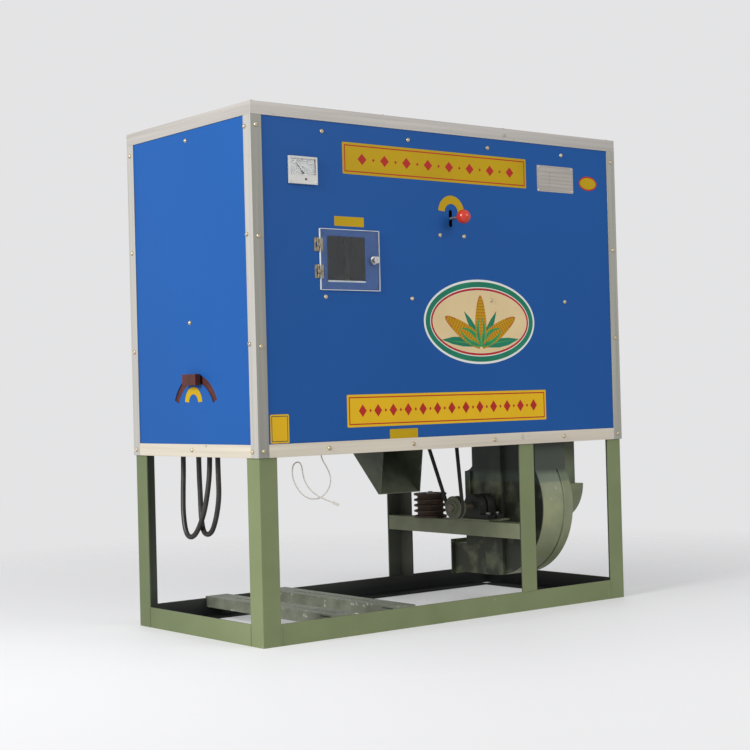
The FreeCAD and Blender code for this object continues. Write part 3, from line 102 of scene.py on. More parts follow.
def finish(name, light, dark, scale, rough, bump_scale, bump, metal=0.0, spread=0.06, stretch=None,
           shine=0.5):
    """A shader whose colour wanders between two tones, with a fine bump on top."""
    made = bpy.data.materials.new(name)
    made.use_nodes = True
    tree = made.node_tree
    shader = tree.nodes["Principled BSDF"]
    shader.inputs["Metallic"].default_value = metal
    shader.inputs["Specular IOR Level"].default_value = shine
    place = tree.nodes.new("ShaderNodeTexCoord")
    source = place.outputs["Object"]
    if stretch:
        mapping = tree.nodes.new("ShaderNodeMapping")
        mapping.inputs["Scale"].default_value = stretch
        tree.links.new(source, mapping.inputs["Vector"])
        source = mapping.outputs["Vector"]
    broad = tree.nodes.new("ShaderNodeTexNoise")
    broad.inputs["Scale"].default_value = scale
    broad.inputs["Detail"].default_value = 5
    tree.links.new(source, broad.inputs["Vector"])
    ramp = tree.nodes.new("ShaderNodeValToRGB")
    ramp.color_ramp.elements[0].position = 0.3
    ramp.color_ramp.elements[0].color = (*dark, 1)
    ramp.color_ramp.elements[1].position = 0.7
    ramp.color_ramp.elements[1].color = (*light, 1)
    tree.links.new(broad.outputs["Fac"], ramp.inputs["Fac"])
    tree.links.new(ramp.outputs["Color"], shader.inputs["Base Color"])
    gloss = tree.nodes.new("ShaderNodeMapRange")
    gloss.inputs["To Min"].default_value = rough - spread
    gloss.inputs["To Max"].default_value = rough + spread
    tree.links.new(broad.outputs["Fac"], gloss.inputs["Value"])
    tree.links.new(gloss.outputs["Result"], shader.inputs["Roughness"])
    fine = tree.nodes.new("ShaderNodeTexNoise")
    fine.inputs["Scale"].default_value = bump_scale
    fine.inputs["Detail"].default_value = 4
    tree.links.new(source, fine.inputs["Vector"])
    raised = tree.nodes.new("ShaderNodeBump")
    raised.inputs["Strength"].default_value = bump
    raised.inputs["Distance"].default_value = 0.001
    tree.links.new(fine.outputs["Fac"], raised.inputs["Height"])
    tree.links.new(raised.outputs["Normal"], shader.inputs["Normal"])
    finishes[name] = made


def blend_in(name, colour, rough, share):
    """Mixes a second colour and gloss into a finish by a share socket of its own tree."""
    tree = finishes[name].node_tree
    shader = tree.nodes["Principled BSDF"]
    for socket, value in (("Base Color", (*colour, 1)), ("Roughness", rough)):
        before = shader.inputs[socket].links[0].from_socket
        mix = tree.nodes.new("ShaderNodeMix")
        mix.data_type = "RGBA" if socket == "Base Color" else "FLOAT"
        a, b, out = (6, 7, 2) if socket == "Base Color" else (2, 3, 0)
        tree.links.new(share, mix.inputs[0])
        tree.links.new(before, mix.inputs[a])
        mix.inputs[b].default_value = value
        tree.links.new(mix.outputs[out], shader.inputs[socket])


def between(tree, source, low, high):
    """A share that runs from nought at one value to one at another."""
    ramp = tree.nodes.new("ShaderNodeMapRange")
    ramp.inputs["From Min"].default_value = low
    ramp.inputs["From Max"].default_value = high
    tree.links.new(source, ramp.inputs["Value"])
    return ramp.outputs["Result"]


def combine(tree, first, second, operation):
    """Two shares joined by one arithmetic step."""
    both = tree.nodes.new("ShaderNodeMath")
    both.operation = operation
    tree.links.new(first, both.inputs[0])
    if isinstance(second, (int, float)):
        both.inputs[1].default_value = second
    else:
        tree.links.new(second, both.inputs[1])
    return both.outputs["Value"]


def axes_of(tree):
    """The three Object coordinates of a finish, one socket each."""
    place = tree.nodes.new("ShaderNodeTexCoord")
    parts = tree.nodes.new("ShaderNodeSeparateXYZ")
    tree.links.new(place.outputs["Object"], parts.inputs["Vector"])
    return parts.outputs["X"], parts.outputs["Y"], parts.outputs["Z"]


def patches(name, colour, scale, amount, rough, low=None, high=None):
    """Adds a second colour in ragged patches, all over or only below a height."""
    tree = finishes[name].node_tree
    place = tree.nodes.new("ShaderNodeTexCoord")
    noise = tree.nodes.new("ShaderNodeTexNoise")
    noise.inputs["Scale"].default_value = scale
    noise.inputs["Detail"].default_value = 8
    noise.inputs["Roughness"].default_value = 0.65
    tree.links.new(place.outputs["Object"], noise.inputs["Vector"])
    share = between(tree, noise.outputs["Fac"], 1 - amount, 1 - amount + 0.07)
    if low is not None:
        share = combine(tree, share, between(tree, axes_of(tree)[2], high, low), "MULTIPLY")
    blend_in(name, colour, rough, share)


# %% Paints
finish("stand_paint", (0.168, 0.200, 0.094), (0.140, 0.172, 0.078), 7, 0.5, 260, 0.22, shine=0.3)
finish("inner_paint", (0.225, 0.245, 0.150), (0.160, 0.175, 0.108), 11, 0.55, 240, 0.3, shine=0.3)
finish("cabinet_paint", (0.0090, 0.077, 0.282), (0.0080, 0.070, 0.260), 1.7, 0.46, 420, 0.04, spread=0.05,
       shine=0.12)
finish("fan_paint", (0.240, 0.255, 0.140), (0.135, 0.165, 0.096), 9, 0.42, 180, 0.25, shine=0.4)
finish("elbow_paint", (0.215, 0.240, 0.140), (0.140, 0.168, 0.098), 9, 0.42, 180, 0.25, shine=0.4)
finish("duct_paint", (0.155, 0.180, 0.116), (0.100, 0.118, 0.076), 9, 0.5, 200, 0.3, shine=0.4)
finish("machine_paint", (0.062, 0.074, 0.046), (0.034, 0.042, 0.028), 12, 0.5, 200, 0.3, shine=0.4)
finish("chute_paint", (0.120, 0.135, 0.086), (0.040, 0.048, 0.034), 9, 0.5, 200, 0.3, shine=0.4)
finish("rail_steel", (0.165, 0.18, 0.135), (0.095, 0.105, 0.072), 16, 0.55, 240, 0.35, metal=0.15)
finish("red_oxide", (0.085, 0.020, 0.015), (0.045, 0.014, 0.011), 30, 0.6, 200, 0.4, shine=0.25)
print("paints", len(finishes))

# %% Wear in the paints
patches("stand_paint", (0.30, 0.31, 0.25), 55, 0.34, 0.7, low=0.0, high=0.35)
patches("fan_paint", (0.30, 0.30, 0.24), 38, 0.38, 0.75)
patches("elbow_paint", (0.26, 0.27, 0.21), 38, 0.36, 0.75)
patches("duct_paint", (0.22, 0.23, 0.18), 38, 0.36, 0.75)
patches("rail_steel", (0.37, 0.37, 0.32), 45, 0.40, 0.8)
patches("machine_paint", (0.13, 0.13, 0.10), 24, 0.36, 0.8)
patches("chute_paint", (0.16, 0.18, 0.15), 30, 0.38, 0.75)

# %% Painted shade inside the stand and on the fan
# The painted shade starts 7 mm inside the stand's outer faces.
stand_tree = finishes["stand_paint"].node_tree
stand_x, stand_y, stand_z = axes_of(stand_tree)
inside = between(stand_tree, stand_y, -0.3030, -0.3015)
inner_faces = ((stand_y, 0.3830, 0.3815), (stand_x, -0.7330, -0.7315), (stand_x, 0.7530, 0.7515))
for socket, near, far in inner_faces:
    inside = combine(stand_tree, inside, between(stand_tree, socket, near, far), "MULTIPLY")
blend_in("stand_paint", (0.078, 0.082, 0.066), 0.62, inside)
# Painted shade, darker still, lies inside the stand near the floor, from 120 mm down to 30 mm.
shade_near_floor = combine(stand_tree, inside, between(stand_tree, stand_z, 0.12, 0.03), "MULTIPLY")
blend_in("stand_paint", (0.009, 0.011, 0.010), 0.62, shade_near_floor)
# The left end is painted darker, and more so towards the back.
to_the_left = between(stand_tree, stand_x, -0.62, -0.70)
darker_left_end = combine(stand_tree, to_the_left, between(stand_tree, stand_y, -0.31, 0.36), "MULTIPLY")
darker_left_end = combine(stand_tree, darker_left_end, 0.46, "MULTIPLY")
blend_in("stand_paint", (0.045, 0.062, 0.030), 0.62, darker_left_end)
# Painted shade lies on the fan's left side, and a bluish and a dark band of painted shade lie high on its
# casing.
fan_tree = finishes["fan_paint"].node_tree
fan_axes = axes_of(fan_tree)
shade_noise = fan_tree.nodes.new("ShaderNodeTexNoise")
shade_noise.inputs["Scale"].default_value = 5
shade_noise.inputs["Detail"].default_value = 6
shaded_left_side = combine(fan_tree, between(fan_tree, fan_axes[0], 0.3945, 0.3925),
                 between(fan_tree, shade_noise.outputs["Fac"], 0.25, 0.50), "MULTIPLY")
blend_in("fan_paint", (0.022, 0.024, 0.018), 0.6, combine(fan_tree, shaded_left_side, 0.93, "MULTIPLY"))
# Bluish painted shade from 405 mm up the casing and dark painted shade from 432 mm up, under the cabinet.
bluish_shade_band = combine(fan_tree, between(fan_tree, fan_axes[2], 0.405, 0.412), 0.55, "MULTIPLY")
blend_in("fan_paint", (0.060, 0.095, 0.078), 0.5, bluish_shade_band)
dark_shade_band = combine(fan_tree, between(fan_tree, fan_axes[2], 0.432, 0.452), 0.80, "MULTIPLY")
blend_in("fan_paint", (0.020, 0.024, 0.020), 0.6, dark_shade_band)
print("inner_shade and fan_shade laid")

# %% Metals
finish("trim_top", (0.43, 0.405, 0.375), (0.33, 0.31, 0.285), 26, 0.46, 300, 0.10, metal=0.25,
       stretch=(0.06, 0.06, 3.0))
finish("trim_bottom", (0.59, 0.535, 0.445), (0.48, 0.43, 0.35), 26, 0.46, 300, 0.10, metal=0.2,
       stretch=(0.06, 0.06, 3.0))
finish("trim_upright", (0.36, 0.355, 0.315), (0.26, 0.26, 0.23), 26, 0.46, 300, 0.10, metal=0.25,
       stretch=(3.0, 3.0, 0.06))
for trim in ("trim_top", "trim_bottom", "trim_upright"):
    patches(trim, (0.25, 0.24, 0.20), 22, 0.345, 0.6)
trim_tree = finishes["trim_upright"].node_tree
trim_x = axes_of(trim_tree)[0]
# Painted shade darkens the front faces of the uprights near the left end.
on_front_face = between(trim_tree, trim_x, -0.7396, -0.7386)
front_shade_near_left = combine(trim_tree, between(trim_tree, trim_x, -0.64, -0.70), on_front_face, "MULTIPLY")
blend_in("trim_upright", (0.10, 0.10, 0.085), 0.5, combine(trim_tree, front_shade_near_left, 0.42, "MULTIPLY"))
# Painted highlight lightens the left faces of the left uprights.
left_face_highlight = between(trim_tree, trim_x, -0.7386, -0.7396)
blend_in("trim_upright", (0.56, 0.53, 0.52), 0.5, combine(trim_tree, left_face_highlight, 0.30, "MULTIPLY"))
finish("zinc_sheet", (0.40, 0.42, 0.43), (0.27, 0.29, 0.30), 55, 0.42, 90, 0.12, metal=0.9)
finish("bare_steel", (0.40, 0.39, 0.37), (0.28, 0.27, 0.26), 40, 0.36, 400, 0.12, metal=0.95)
patches("bare_steel", (0.13, 0.075, 0.045), 45, 0.37, 0.8)
finish("cast_iron", (0.105, 0.105, 0.066), (0.055, 0.056, 0.036), 22, 0.58, 150, 0.6, metal=0.2)
finish("grimy_iron", (0.036, 0.038, 0.030), (0.018, 0.020, 0.016), 22, 0.62, 150, 0.6, shine=0.3)
finish("pulley_iron", (0.150, 0.160, 0.105), (0.080, 0.088, 0.058), 30, 0.58, 150, 0.5, shine=0.3)
finish("oily_steel", (0.20, 0.17, 0.14), (0.10, 0.085, 0.070), 40, 0.5, 400, 0.12, metal=0.7)
finish("rusty_iron", (0.080, 0.045, 0.026), (0.030, 0.021, 0.014), 40, 0.75, 220, 0.7)
finish("polished_steel", (0.66, 0.65, 0.62), (0.44, 0.43, 0.40), 70, 0.2, 300, 0.06, metal=1.0)
finish("brass_zinc", (0.56, 0.48, 0.33), (0.32, 0.26, 0.16), 90, 0.34, 400, 0.15, metal=0.7)
finish("hinge_brass", (0.30, 0.26, 0.17), (0.12, 0.10, 0.07), 160, 0.42, 400, 0.2, metal=0.55, shine=0.3)
finish("plate_silver", (0.40, 0.365, 0.335), (0.33, 0.30, 0.275), 60, 0.36, 260, 0.08, metal=0.35,
       stretch=(0.1, 1.0, 4.0))
print("metals added, finishes", len(finishes))

# %% Rubber, plastic and print
finish("belt_rubber", (0.034, 0.028, 0.022), (0.014, 0.012, 0.010), 60, 0.72, 700, 0.3)
finish("cable_rubber", (0.034, 0.031, 0.026), (0.011, 0.010, 0.009), 22, 0.38, 500, 0.2, shine=0.35)
patches("cable_rubber", (0.13, 0.11, 0.08), 60, 0.36, 0.8)
finish("wire_jacket", (0.80, 0.77, 0.70), (0.64, 0.60, 0.52), 50, 0.4, 500, 0.1)
finish("knob_red", (0.52, 0.030, 0.010), (0.42, 0.024, 0.008), 20, 0.2, 300, 0.03, spread=0.03)
finish("meter_white", (0.56, 0.55, 0.53), (0.50, 0.49, 0.47), 25, 0.34, 400, 0.04, spread=0.03)
finish("dial_white", (0.80, 0.80, 0.79), (0.75, 0.75, 0.74), 12, 0.5, 300, 0.02)
finish("pointer_black", (0.016, 0.016, 0.016), (0.009, 0.009, 0.009), 60, 0.4, 500, 0.05)
finish("sticker_yellow", (0.45, 0.290, 0.004), (0.40, 0.255, 0.004), 5, 0.42, 300, 0.04, shine=0.12)
finish("banner_yellow", (0.66, 0.400, 0.010), (0.60, 0.360, 0.010), 5, 0.42, 300, 0.04, shine=0.12)
finish("sticker_amber", (0.40, 0.120, 0.008), (0.33, 0.095, 0.008), 5, 0.42, 300, 0.04, shine=0.15)
finish("sticker_red", (0.40, 0.020, 0.012), (0.32, 0.018, 0.012), 8, 0.42, 300, 0.04, shine=0.15)
finish("sticker_green", (0.012, 0.180, 0.105), (0.008, 0.130, 0.075), 9, 0.42, 300, 0.04, shine=0.15)
finish("sticker_leaf", (0.060, 0.300, 0.090), (0.030, 0.210, 0.060), 30, 0.42, 300, 0.04, shine=0.15)
finish("sticker_cream", (0.64, 0.50, 0.28), (0.58, 0.44, 0.24), 7, 0.42, 300, 0.04, shine=0.15)
finish("sticker_white", (0.68, 0.68, 0.65), (0.62, 0.62, 0.59), 7, 0.42, 300, 0.04, shine=0.15)
finish("print_grey", (0.20, 0.19, 0.185), (0.15, 0.145, 0.14), 30, 0.5, 300, 0.05)
finish("print_black", (0.020, 0.020, 0.022), (0.012, 0.012, 0.014), 30, 0.5, 300, 0.05)

# %% Clear plastic
finish("clear_sheet", (0.94, 0.96, 0.97), (0.91, 0.94, 0.95), 4, 0.05, 120, 0.02, spread=0.03)
clear_shader = finishes["clear_sheet"].node_tree.nodes["Principled BSDF"]
clear_shader.inputs["Transmission Weight"].default_value = 0.980
clear_shader.inputs["IOR"].default_value = 1.26
finish("meter_clear", (0.96, 0.97, 0.97), (0.93, 0.94, 0.95), 4, 0.04, 120, 0.01, spread=0.02)
meter_shader = finishes["meter_clear"].node_tree.nodes["Principled BSDF"]
meter_shader.inputs["Transmission Weight"].default_value = 1.0
meter_shader.inputs["IOR"].default_value = 1.46
# The pale colour of cut edges is a painted highlight, the line of light a cut edge catches.
finish("cut_edge_highlight", (0.66, 0.69, 0.70), (0.50, 0.54, 0.56), 20, 0.5, 300, 0.2)
print("finishes", len(finishes))

# %% [markdown]
# ## Hanging cables
# Two black mains cables leave glands in the cabinet floor, hang down in a loop and go back in.
# A thin pale signal wire comes out nearer the front, makes a loop and ends in a small plug.
# A smooth spline with a handful of control points hangs like a heavy cable does; points set
# close together would make kinks.

# %% Cables
def hang(name, places, thickness, material):
    """A round cable on a smooth line through a few given places."""
    line = bpy.data.curves.new(name, "CURVE")
    line.dimensions = "3D"
    spline = line.splines.new("NURBS")
    spline.points.add(len(places) - 1)
    for control, place in zip(spline.points, places):
        control.co = (*at(*place), 1)
    spline.order_u = 3
    spline.use_endpoint_u = True
    spline.resolution_u = 10
    line.bevel_depth = thickness / 2
    line.bevel_resolution = 5
    line.use_fill_caps = True
    line.materials.append(finishes[material])
    cable = bpy.data.objects.new(name, line)
    bpy.context.scene.collection.objects.link(cable)
    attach(cable, "machine")
    return cable


loop_a = [(90, 550, 561), (90, 550, 500), (84, 546, 428), (76, 536, 352), (69, 508, 287),
          (69, 460, 287), (73, 414, 352), (82, 400, 428), (90, 397, 500), (90, 397, 561)]
loop_b = [(90, 460, 561), (90, 460, 484), (94, 462, 412), (92, 458, 352), (88, 440, 298),
          (89, 400, 296), (92, 374, 340), (96, 358, 412), (90, 352, 484), (90, 352, 561)]
thin_loop = [(268, 66, 561), (268, 66, 529), (287, 61, 500), (301, 60, 468), (294, 62, 434),
             (264, 66, 408), (226, 70, 408), (196, 73, 428), (177, 76, 458), (170, 77, 486),
             (172, 75, 511), (181, 71, 520), (191, 68, 520), (199, 67, 508), (200, 65, 484),
             (208, 62, 455), (230, 58, 428), (264, 57, 408), (310, 58, 392)]
for letter, loop, measure in (("a", loop_a, 0.608), ("b", loop_b, 0.565)):
    cable = hang("mains_cable_" + letter, loop, 0.016, "cable_rubber")
    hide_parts("supply_cable_" + letter)
thin_wire = hang("thin_wire", thin_loop, 0.004, "wire_jacket")
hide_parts("signal_wire")
print("cables hung", 3)

# %% [markdown]
# ## Finishes on the ready shapes
# Each node takes the finish that its real piece has. Sharp sheet-metal corners never look real,
# because a bent or sawn edge always catches a thin line of light, so the loose triangles are
# welded and a narrow bevel is laid on every edge sharper than a set angle.

# %% Dress the nodes
wears = {
    "stand_paint": ("base_frame", "corner_posts", "mid_posts", "cabinet_frame"),
    "inner_paint": ("crossbar", "fan_bearing_shelf", "bearing_stands"),
    "rail_steel": ("motor_rails",),
    "cabinet_paint": ("front_panel", "back_panel", "left_panel", "right_panel", "roof_panel", "feed_lid"),
    "trim_top": ("top_trim",),
    "trim_bottom": ("bottom_trims",),
    "trim_upright": ("corner_trims",),
    "fan_paint": ("fan_casing_left", "fan_casing_right"),
    "elbow_paint": ("suction_elbow",),
    "machine_paint": ("chamber_casing_upper", "chamber_casing_lower", "chamber_end_plates",
                      "main_bearings"),
    "duct_paint": ("husk_ducts",),
    "chute_paint": ("discharge_chute",),
    "zinc_sheet": ("cabinet_floor_panel", "feed_hopper", "gate_guide_spout", "feed_gate"),
    "oily_steel": ("fan_shaft",),
    "bare_steel": ("main_shaft", "screen_drum", "feed_lever", "shaft_brackets",
                   "motor_pulley_stud", "feed_lid_hinges", "adjusting_flap"),
    "cast_iron": ("dehulling_rotor", "main_pulley", "fan_impeller"),
    "pulley_iron": ("fan_pulley",),
    "grimy_iron": ("fan_bearings",),
    "rusty_iron": ("motor_pulley",),
    "red_oxide": ("adjusting_quadrant",),
    "belt_rubber": ("v_belt",),
    "cable_rubber": ("cable_glands",),
    "wire_jacket": ("wire_plug",),
    "knob_red": ("feed_lever_knob",),
    "meter_white": ("panel_meter_body",),
    "clear_sheet": ("window_door",),
    "meter_clear": ("panel_meter_window",),
    "pointer_black": ("panel_meter_pointer",),
    "polished_steel": ("lock_body", "lock_plug"),
    "hinge_brass": ("window_hinge_door_leaves", "window_hinge_panel_leaves"),
}
fine_edges = {"panel_meter_body": 0.8, "panel_meter_window": 0.2, "window_door": 0.6, "lock_body": 0.5,
              "lock_plug": 0.2, "panel_meter_pointer": 0.1, "corner_posts": 1.6, "base_frame": 1.6,
              "mid_posts": 1.6, "motor_rails": 1.2, "crossbar": 1.4, "feed_lever_knob": 0.3}


def soften(shape, millimetres):
    """Weld the loose triangles, then a small bevel on every sharp edge."""
    weld = shape.modifiers.new("weld", "WELD")
    weld.merge_threshold = 0.00002
    edge = shape.modifiers.new("edge", "BEVEL")
    edge.width = millimetres / 1000
    edge.segments = 2
    edge.limit_method = "ANGLE"
    edge.angle_limit = math.radians(38)
    edge.use_clamp_overlap = True
    edge.harden_normals = False


for finish_name, wearers in wears.items():
    for node_name in wearers:
        shape = nodes[node_name]
        shape.data.materials.clear()
        shape.data.materials.append(finishes[finish_name])
        soften(shape, fine_edges.get(node_name, 0.6))
print("dressed", sum(len(w) for w in wears.values()))

# %% [markdown]
# ## Screws
# Every panel and trim is held by dome-headed screws with a cross recess. One screw is made by
# spinning a half outline round its axis, the recess is cut with two crossed blocks, and the
# finished head is then set down at each place with its own turn, as a fitter leaves them.

# %% One screw head
def set_down(name, shape, material, body="machine", smooth=True):
    """Turns a finished bmesh into a piece that rides on a body."""
    mesh = bpy.data.meshes.new(name)
    shape.to_mesh(mesh)
    shape.free()
    mesh.materials.append(finishes[material])
    for face in mesh.polygons:
        face.use_smooth = smooth
    thing = bpy.data.objects.new(name, mesh)
    bpy.context.scene.collection.objects.link(thing)
    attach(thing, body)
    return thing


def spun(outline, steps=16):
    """A closed round body from a half outline of radius and height pairs, in millimetres."""
    shape = bmesh.new()
    ring = [shape.verts.new((r / 1000, 0, h / 1000)) for r, h in outline]
    edges = [shape.edges.new(pair) for pair in zip(ring, ring[1:])]
    bmesh.ops.spin(shape, geom=ring + edges, cent=(0, 0, 0), axis=(0, 0, 1), dvec=(0, 0, 0),
                   angle=math.tau, steps=steps, use_merge=True, use_duplicate=False)
    bmesh.ops.remove_doubles(shape, verts=shape.verts, dist=0.00001)
    bmesh.ops.recalc_face_normals(shape, faces=shape.faces)
    return shape


def master(shape, cutters=()):
    """Cuts blocks out of a shape and returns the finished mesh."""
    mesh = bpy.data.meshes.new("master")
    shape.to_mesh(mesh)
    shape.free()
    body = bpy.data.objects.new("master", mesh)
    bpy.context.scene.collection.objects.link(body)
    tools = []
    for size, turn in cutters:
        block = bmesh.new()
        bmesh.ops.create_cube(block, size=1)
        bmesh.ops.scale(block, vec=Vector(size) / 1000, verts=block.verts)
        bmesh.ops.rotate(block, cent=(0, 0, 0), matrix=Matrix.Rotation(turn, 3, "Z"), verts=block.verts)
        bmesh.ops.translate(block, vec=(0, 0, 0.0052), verts=block.verts)
        tool_mesh = bpy.data.meshes.new("tool")
        block.to_mesh(tool_mesh)
        block.free()
        tool = bpy.data.objects.new("tool", tool_mesh)
        bpy.context.scene.collection.objects.link(tool)
        cut = body.modifiers.new("cut", "BOOLEAN")
        cut.object = tool
        tools.append(tool)
    bpy.context.view_layer.update()
    seen = body.evaluated_get(bpy.context.evaluated_depsgraph_get())
    result = bpy.data.meshes.new_from_object(seen)
    for spare in tools + [body]:
        bpy.data.objects.remove(spare)
    return result


screw_outline = [(0, 5.2), (2.4, 5.0), (4.6, 4.0), (6.3, 2.2), (6.9, 0.6), (6.9, 0), (0, 0)]
screw_head = master(spun(screw_outline), (((6.4, 1.3, 4.0), 0.0), ((6.4, 1.3, 4.0), math.pi / 2)))
hex_head = master(spun([(0, 7.5), (7.6, 7.5), (9.2, 6.6), (9.2, 0), (0, 0)], steps=6))
washer = master(spun([(5, 1.6), (11.5, 1.6), (12, 1.2), (12, 0), (5, 0), (5, 1.6)], steps=20))
print("screw head faces", len(screw_head.polygons), "bolt faces", len(hex_head.polygons))

# %% Set the screws
facing = {"front": Matrix.Rotation(math.pi / 2, 4, "X"), "left": Matrix.Rotation(-math.pi / 2, 4, "Y"),
          "back": Matrix.Rotation(-math.pi / 2, 4, "X"), "right": Matrix.Rotation(math.pi / 2, 4, "Y"),
          "up": Matrix.Identity(4)}
chance = random.Random(7)


def scatter(name, pattern, places, way, material, size=1.0):
    """Copies a small master shape to each place, each with its own turn."""
    shape = bmesh.new()
    for place in places:
        start = len(shape.verts)
        shape.from_mesh(pattern)
        shape.verts.ensure_lookup_table()
        turn = Matrix.Rotation(chance.uniform(0, math.tau), 4, "Z")
        move = Matrix.Translation(at(*place)) @ facing[way] @ turn @ Matrix.Scale(size, 4)
        bmesh.ops.transform(shape, matrix=move, verts=shape.verts[start:])
    return set_down(name, shape, material)


# Left and front places are mirrored to the right end and the back, where the heads sit lower.
mirror_x, mirror_y = 1496.4, 696.4
across = (255, 585, 915, 1245)
low_row = (20, 253, 575, 912, 1223, 1481)
front_screws = [(x, 3, z) for x in across for z in (1492, 1004)]
front_trim_screws = [(x, 0, 559) for x in low_row] + [(1481, 0, z) for z in (1485, 1184, 885)]
front_trim_screws += [(19, 0, z) for z in (1492, 1174, 858)]
side_heights = (1489, 1180, 866, 558)
side_screws = [(0, y, z) for y in (30, 681) for z in side_heights] + [(0, 352, 560)]
side_panel_screws = [(3, 352, 1493), (3, 352, 943)]
left_screws = side_screws + side_panel_screws
right_screws = [(mirror_x - x, y, z) for x, y, z in left_screws]
back_screws = [(x, mirror_y - y, z) for x, y, z in front_screws + front_trim_screws]
lever_screws = [(705, 3, 1204), (805, 3, 1204)]
roof_height = 1560
roof_screws = [(x, y, roof_height) for x in (19, 500, 1000, 1481) for y in (19, 681)]
for name, places, way in (("front_panel_screws", front_screws, "front"),
                          ("front_trim_screws", front_trim_screws, "front"),
                          ("left_trim_screws", left_screws, "left"),
                          ("right_trim_screws", right_screws, "right"),
                          ("back_screws", back_screws, "back"),
                          ("lever_screws", lever_screws, "front"),
                          ("roof_screws", roof_screws, "up")):
    scatter(name, screw_head, places, way, "brass_zinc")
    print(name, len(places))

# %% [markdown]
# ## Stickers and plates
# A vinyl sticker is a flat sheet a few tenths of a millimetre thick, and its printed line is a
# second, thinner one on top. Outlines are drawn in millimetres on the panel, filled, and then
# drawn out towards the viewer. Plain borders and rows of lozenges are printed on the banners.

# %% Helpers for flat pieces
panel_depth = 3


def on_front(u, v, w):
    """A place on the front panel: u to the right, v up, w out of the panel."""
    return at(u, panel_depth - w, v)


def on_left(u, v, w):
    """A place on the left panel: u to the back, v up, w out of the panel."""
    return at(panel_depth - w, u, v)


def flat(name, place, outlines, low, thick, material, slot_name=None, body="machine"):
    """Fills closed outlines and draws them out; an inner outline is a hole."""
    shape = bmesh.new()
    for outline in outlines:
        corners = [shape.verts.new((u, v, low)) for u, v in outline]
        for pair in zip(corners, corners[1:] + corners[:1]):
            shape.edges.new(pair)
    bmesh.ops.triangle_fill(shape, use_beauty=True, use_dissolve=False, edges=shape.edges[:])
    lifted = bmesh.ops.extrude_face_region(shape, geom=shape.faces[:])
    raised = [v for v in lifted["geom"] if isinstance(v, bmesh.types.BMVert)]
    bmesh.ops.translate(shape, vec=(0, 0, thick), verts=raised)
    for corner in shape.verts:
        corner.co = place(*corner.co)
    bmesh.ops.recalc_face_normals(shape, faces=shape.faces[:])
    return set_down(name, shape, material, body, smooth=False)


def card(u0, u1, v0, v1, radius):
    """A rectangle with rounded corners."""
    ring = []
    left_u, right_u, low_v, high_v = u0 + radius, u1 - radius, v0 + radius, v1 - radius
    for corner_u, corner_v, start in ((right_u, high_v, 0), (left_u, high_v, 90),
                                      (left_u, low_v, 180), (right_u, low_v, 270)):
        for step in range(5):
            turn = math.radians(start + 22.5 * step)
            ring.append((corner_u + radius * math.cos(turn), corner_v + radius * math.sin(turn)))
    return ring


def oval(middle_u, middle_v, half_u, half_v, steps):
    """A closed ellipse."""
    turns = [math.tau * k / steps for k in range(steps)]
    return [(middle_u + half_u * math.cos(turn), middle_v + half_v * math.sin(turn)) for turn in turns]


def arch(middle_u, middle_v, outer, inner, start, end, steps=24):
    """A curved band between two radii and two angles."""
    turns = [math.radians(start + (end - start) * k / steps) for k in range(steps + 1)]
    way_out = [(outer, turn) for turn in turns]
    way_back = [(inner, turn) for turn in reversed(turns)]
    return [(middle_u + radius * math.cos(turn), middle_v + radius * math.sin(turn))
            for radius, turn in way_out + way_back]


def border(u0, u1, v0, v1, inset, wide):
    """The two outlines of a printed frame."""
    return [card(u0 + inset, u1 - inset, v0 + inset, v1 - inset, 1.5),
            card(u0 + inset + wide, u1 - inset - wide, v0 + inset + wide, v1 - inset - wide, 1.0)]


def lozenges(count, u0, u1, middle_v, half_u, half_v):
    """A row of diamonds with a small one between each two."""
    row_of_all = []
    for k in range(2 * count - 1):
        middle_u = u0 + (u1 - u0) * (k + 1) / (2 * count)
        size = 1.0 if k % 2 == 0 else 0.3
        across_u, across_v = half_u * size, half_v * size
        row_of_all.append([(middle_u - across_u, middle_v), (middle_u, middle_v - across_v),
                           (middle_u + across_u, middle_v), (middle_u, middle_v + across_v)])
    return row_of_all


# Each pair says how low a layer starts over the panel and how thick it is.
vinyl, ink = (0, 0.4), (0.3, 0.25)


# %% Banners and labels
banner_top = (329, 1082, 1372, 1467)
banner_low = (323, 1145, 617, 714)
corner_label = (45, 111, 580, 663)
flat("banner_top", on_front, [card(*banner_top, 3)], *vinyl, "sticker_yellow")
flat("banner_top_line", on_front, border(*banner_top, 7, 3.4), *ink, "sticker_red")
flat("banner_top_row", on_front, lozenges(8, 360, 1052, 1419, 17, 17), *ink, "sticker_red")
flat("banner_low", on_front, [card(*banner_low, 3)], *vinyl, "banner_yellow")
flat("banner_low_line", on_front, border(*banner_low, 7, 3.4), *ink, "sticker_red")
flat("banner_low_row", on_front, lozenges(13, 352, 1118, 665.5, 15, 19), *ink, "sticker_red")
flat("label_window", on_front, [card(293, 404, 1215, 1244, 2)], *vinyl, "sticker_yellow")
flat("label_chute", on_front, [card(484, 594, 576, 607, 2)], *vinyl, "sticker_yellow")
flat("label_lever", on_front, [arch(754, 1276, 54, 28, 6, 174)], *vinyl, "sticker_yellow")
flat("label_corner", on_front, [card(*corner_label, 4)], *vinyl, "banner_yellow")
flat("label_corner_line", on_front, border(*corner_label, 4.5, 2), *ink, "print_black")
flat("label_oval", on_front, [oval(1370, 1405, 43, 24, 48)], *vinyl, "sticker_red")
flat("label_oval_field", on_front, [oval(1370, 1405, 38, 19.5, 48)], *ink, "sticker_yellow")
flat("label_quadrant", on_left, [arch(342, 702, 48, 26, 4, 176)], *vinyl, "sticker_yellow")
print("banners and labels stuck on")

